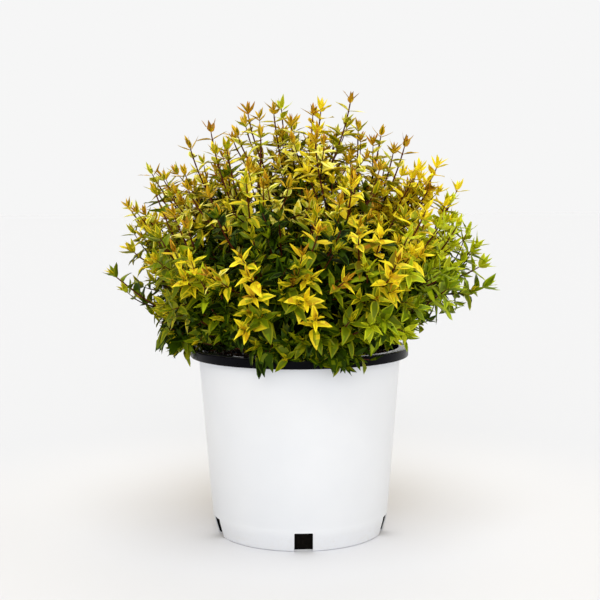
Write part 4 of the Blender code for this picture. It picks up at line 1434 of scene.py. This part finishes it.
def add_twig(batch, shoot, nodes):
    """A shoot's wood: a tapering tube that swells at each node, old at its foot and red at its tip."""
    path, lengths = measured(shoot.path)
    total = lengths[-1]
    stations = {0.0: 1.0, total: TWIG_TIP_SHARE}
    stations.update((float(at), 1.0) for at in np.arange(TWIG_STEP, total - 0.004, TWIG_STEP))
    for at in nodes:
        if total - at > NODE_ROOM:
            stations[at] = NODE_SWELLING
            stations[max(at - NODE_HALF_LENGTH, 0.0001)] = 1.0
            stations[at + NODE_HALF_LENGTH] = 1.0
    places = np.array(sorted(stations))
    radii = np.interp(places, lengths, shoot.radii) * [stations[place] for place in places]
    middles = (places[1:] + places[:-1]) / 2 / total
    finish = np.zeros(len(middles), int) if shoot.level == STEM else np.where(middles > RED_FROM_SHARE, 2, 1)
    finishes = np.concatenate([np.repeat(finish, TWIG_SIDES), finish[[0, -1]]])
    batch.add(tube(points_at(places, path, lengths), radii, TWIG_SIDES), finishes)


def group_of(label):
    """The joined piece that a mass goes to: its tier, or a part of it."""
    tier, _, number = label.partition("_")
    return f"{tier}_{1 if int(number) <= SPLIT_TIERS[tier] else 2}" if tier in SPLIT_TIERS else tier


def make_crown(plan):
    """Every mass's twigs and leaves, joined by group, each kind apart."""
    tips, forms, groups = shoot_tips(), leaf_forms(), {}
    owners = [owner(tip.place, plan) for tip in tips]
    for index, (label, _, _) in enumerate(plan):
        leaves, twigs, nodes = groups.setdefault(group_of(label), (Batch(), Batch(), []))
        nodes.append(f"{label}_foliage")
        chance = random.Random(SEED + 300 + index)
        mine = [tip for tip, whose in zip(tips, owners) if whose == index]
        for shoot in grow_mass(index, plan, mine):
            add_twig(twigs, shoot, bear_leaves(leaves, forms, shoot, chance))
    leaf_finishes, twig_finishes = leaf_materials(), twig_materials()
    for name, (leaves, twigs, nodes) in groups.items():
        leaves.piece(f"{name}_leaves", leaf_finishes, "foliage", *nodes)
        twigs.piece(f"{name}_twigs", twig_finishes, "bark", *nodes)


# The stage

def make_stage():
    """A wide pale floor, painted a little paler round the plant as painted light."""
    mesh = bpy.data.meshes.new("floor")
    half = FLOOR_HALF_WIDTH
    corners = [(-half, -half, 0), (half, -half, 0), (half, half, 0), (-half, half, 0)]
    mesh.from_pydata(corners, [], [(0, 1, 2, 3)])
    pale = new_material("stage_pale", FLOOR_COLOUR, 0.9, 0.0)
    out = node(pale, "ShaderNodeVectorMath", operation="LENGTH")
    give(pale, out.inputs[0], node(pale, "ShaderNodeTexCoord").outputs["Object"])
    near = node(pale, "ShaderNodeMapRange", interpolation_type="SMOOTHSTEP", Value=out.outputs["Value"])
    fill(pale, near, From_Min=FLOOR_FADE[0], From_Max=FLOOR_FADE[1])
    tones = ((0.0, PAINTED_LIGHT_FLOOR_COLOUR), (1.0, FLOOR_COLOUR))
    shade(pale, Base_Color=ramp_of(pale, near.outputs["Result"], *tones))
    mesh.materials.append(pale)
    floor = show("floor", mesh)


def make_lights():
    """The soft distant lights, and a pale room that is brightest low at the back."""
    for name, (elevation, azimuth, strength, softness_deg, colour) in SUNS.items():
        light = bpy.data.lights.new(name, "SUN")
        light.energy, light.angle, light.color = strength, radians(softness_deg), colour
        toward = direction_deg(elevation, azimuth)
        show(name, light).rotation_euler = toward.to_track_quat("Z", "Y").to_euler()
    world = bpy.data.worlds.new("studio")
    world.use_nodes = True
    where = node(world, "ShaderNodeTexCoord").outputs["Generated"]
    parts = node(world, "ShaderNodeSeparateXYZ", Vector=where).outputs
    low, high = (sin(radians(angle)) for angle in ROOM_RISE_DEG)
    rise = ramp_of(world, parts["Z"], (low, BACKDROP), (high, ROOM_TOP_COLOUR))
    turn = ramp_of(world, parts["Y"], (ROOM_TURN[0], ROOM_SIDE_SHARE), (ROOM_TURN[1], 1.0))
    room = mix_of(world, 1.0, rise, turn, blend_type="MULTIPLY")
    fill(world, world.node_tree.nodes["Background"], Color=room)
    bpy.context.scene.world = world


def make_camera():
    """The photograph's camera: level across but for a slight roll, and tilted down a little."""
    lens = bpy.data.cameras.new("camera")
    lens.sensor_width, lens.lens, lens.shift_x = CAMERA_SENSOR_MM, CAMERA_LENS_MM, CAMERA_SHIFT
    lens.clip_start, lens.clip_end = CAMERA_CLIP
    camera = show("camera", lens)
    camera.location = CAMERA_PLACE
    camera.rotation_euler = (pi / 2 - CAMERA_PITCH, 0.0, 0.0)
    camera.rotation_euler.rotate_axis("Z", CAMERA_ROLL)
    bpy.context.scene.camera = camera


make_camera()
make_lights()
make_stage()
lip_face = pot_black_material("pot_black", (0.012, 0.012, 0.028), (0.035, 0.035, 0.065), 0.05, (0.20, 0.34))
# A lighter grey for the lip's top: a painted reflection, with the black's haze and dust
lip_painted_reflection = pot_black_material("pot_black_painted_reflection", (0.16, 0.16, 0.17), (0.30, 0.30, 0.31), 0.55, (0.12, 0.24))
make_pot(pot_white_material(), lip_face, lip_painted_reflection)
make_mix()
bark, plan = bark_material(), mass_plan()
make_stem_base(bark)
make_boughs(bark, plan)
make_crown(plan)
bpy.context.scene.view_settings.view_transform = "Standard"
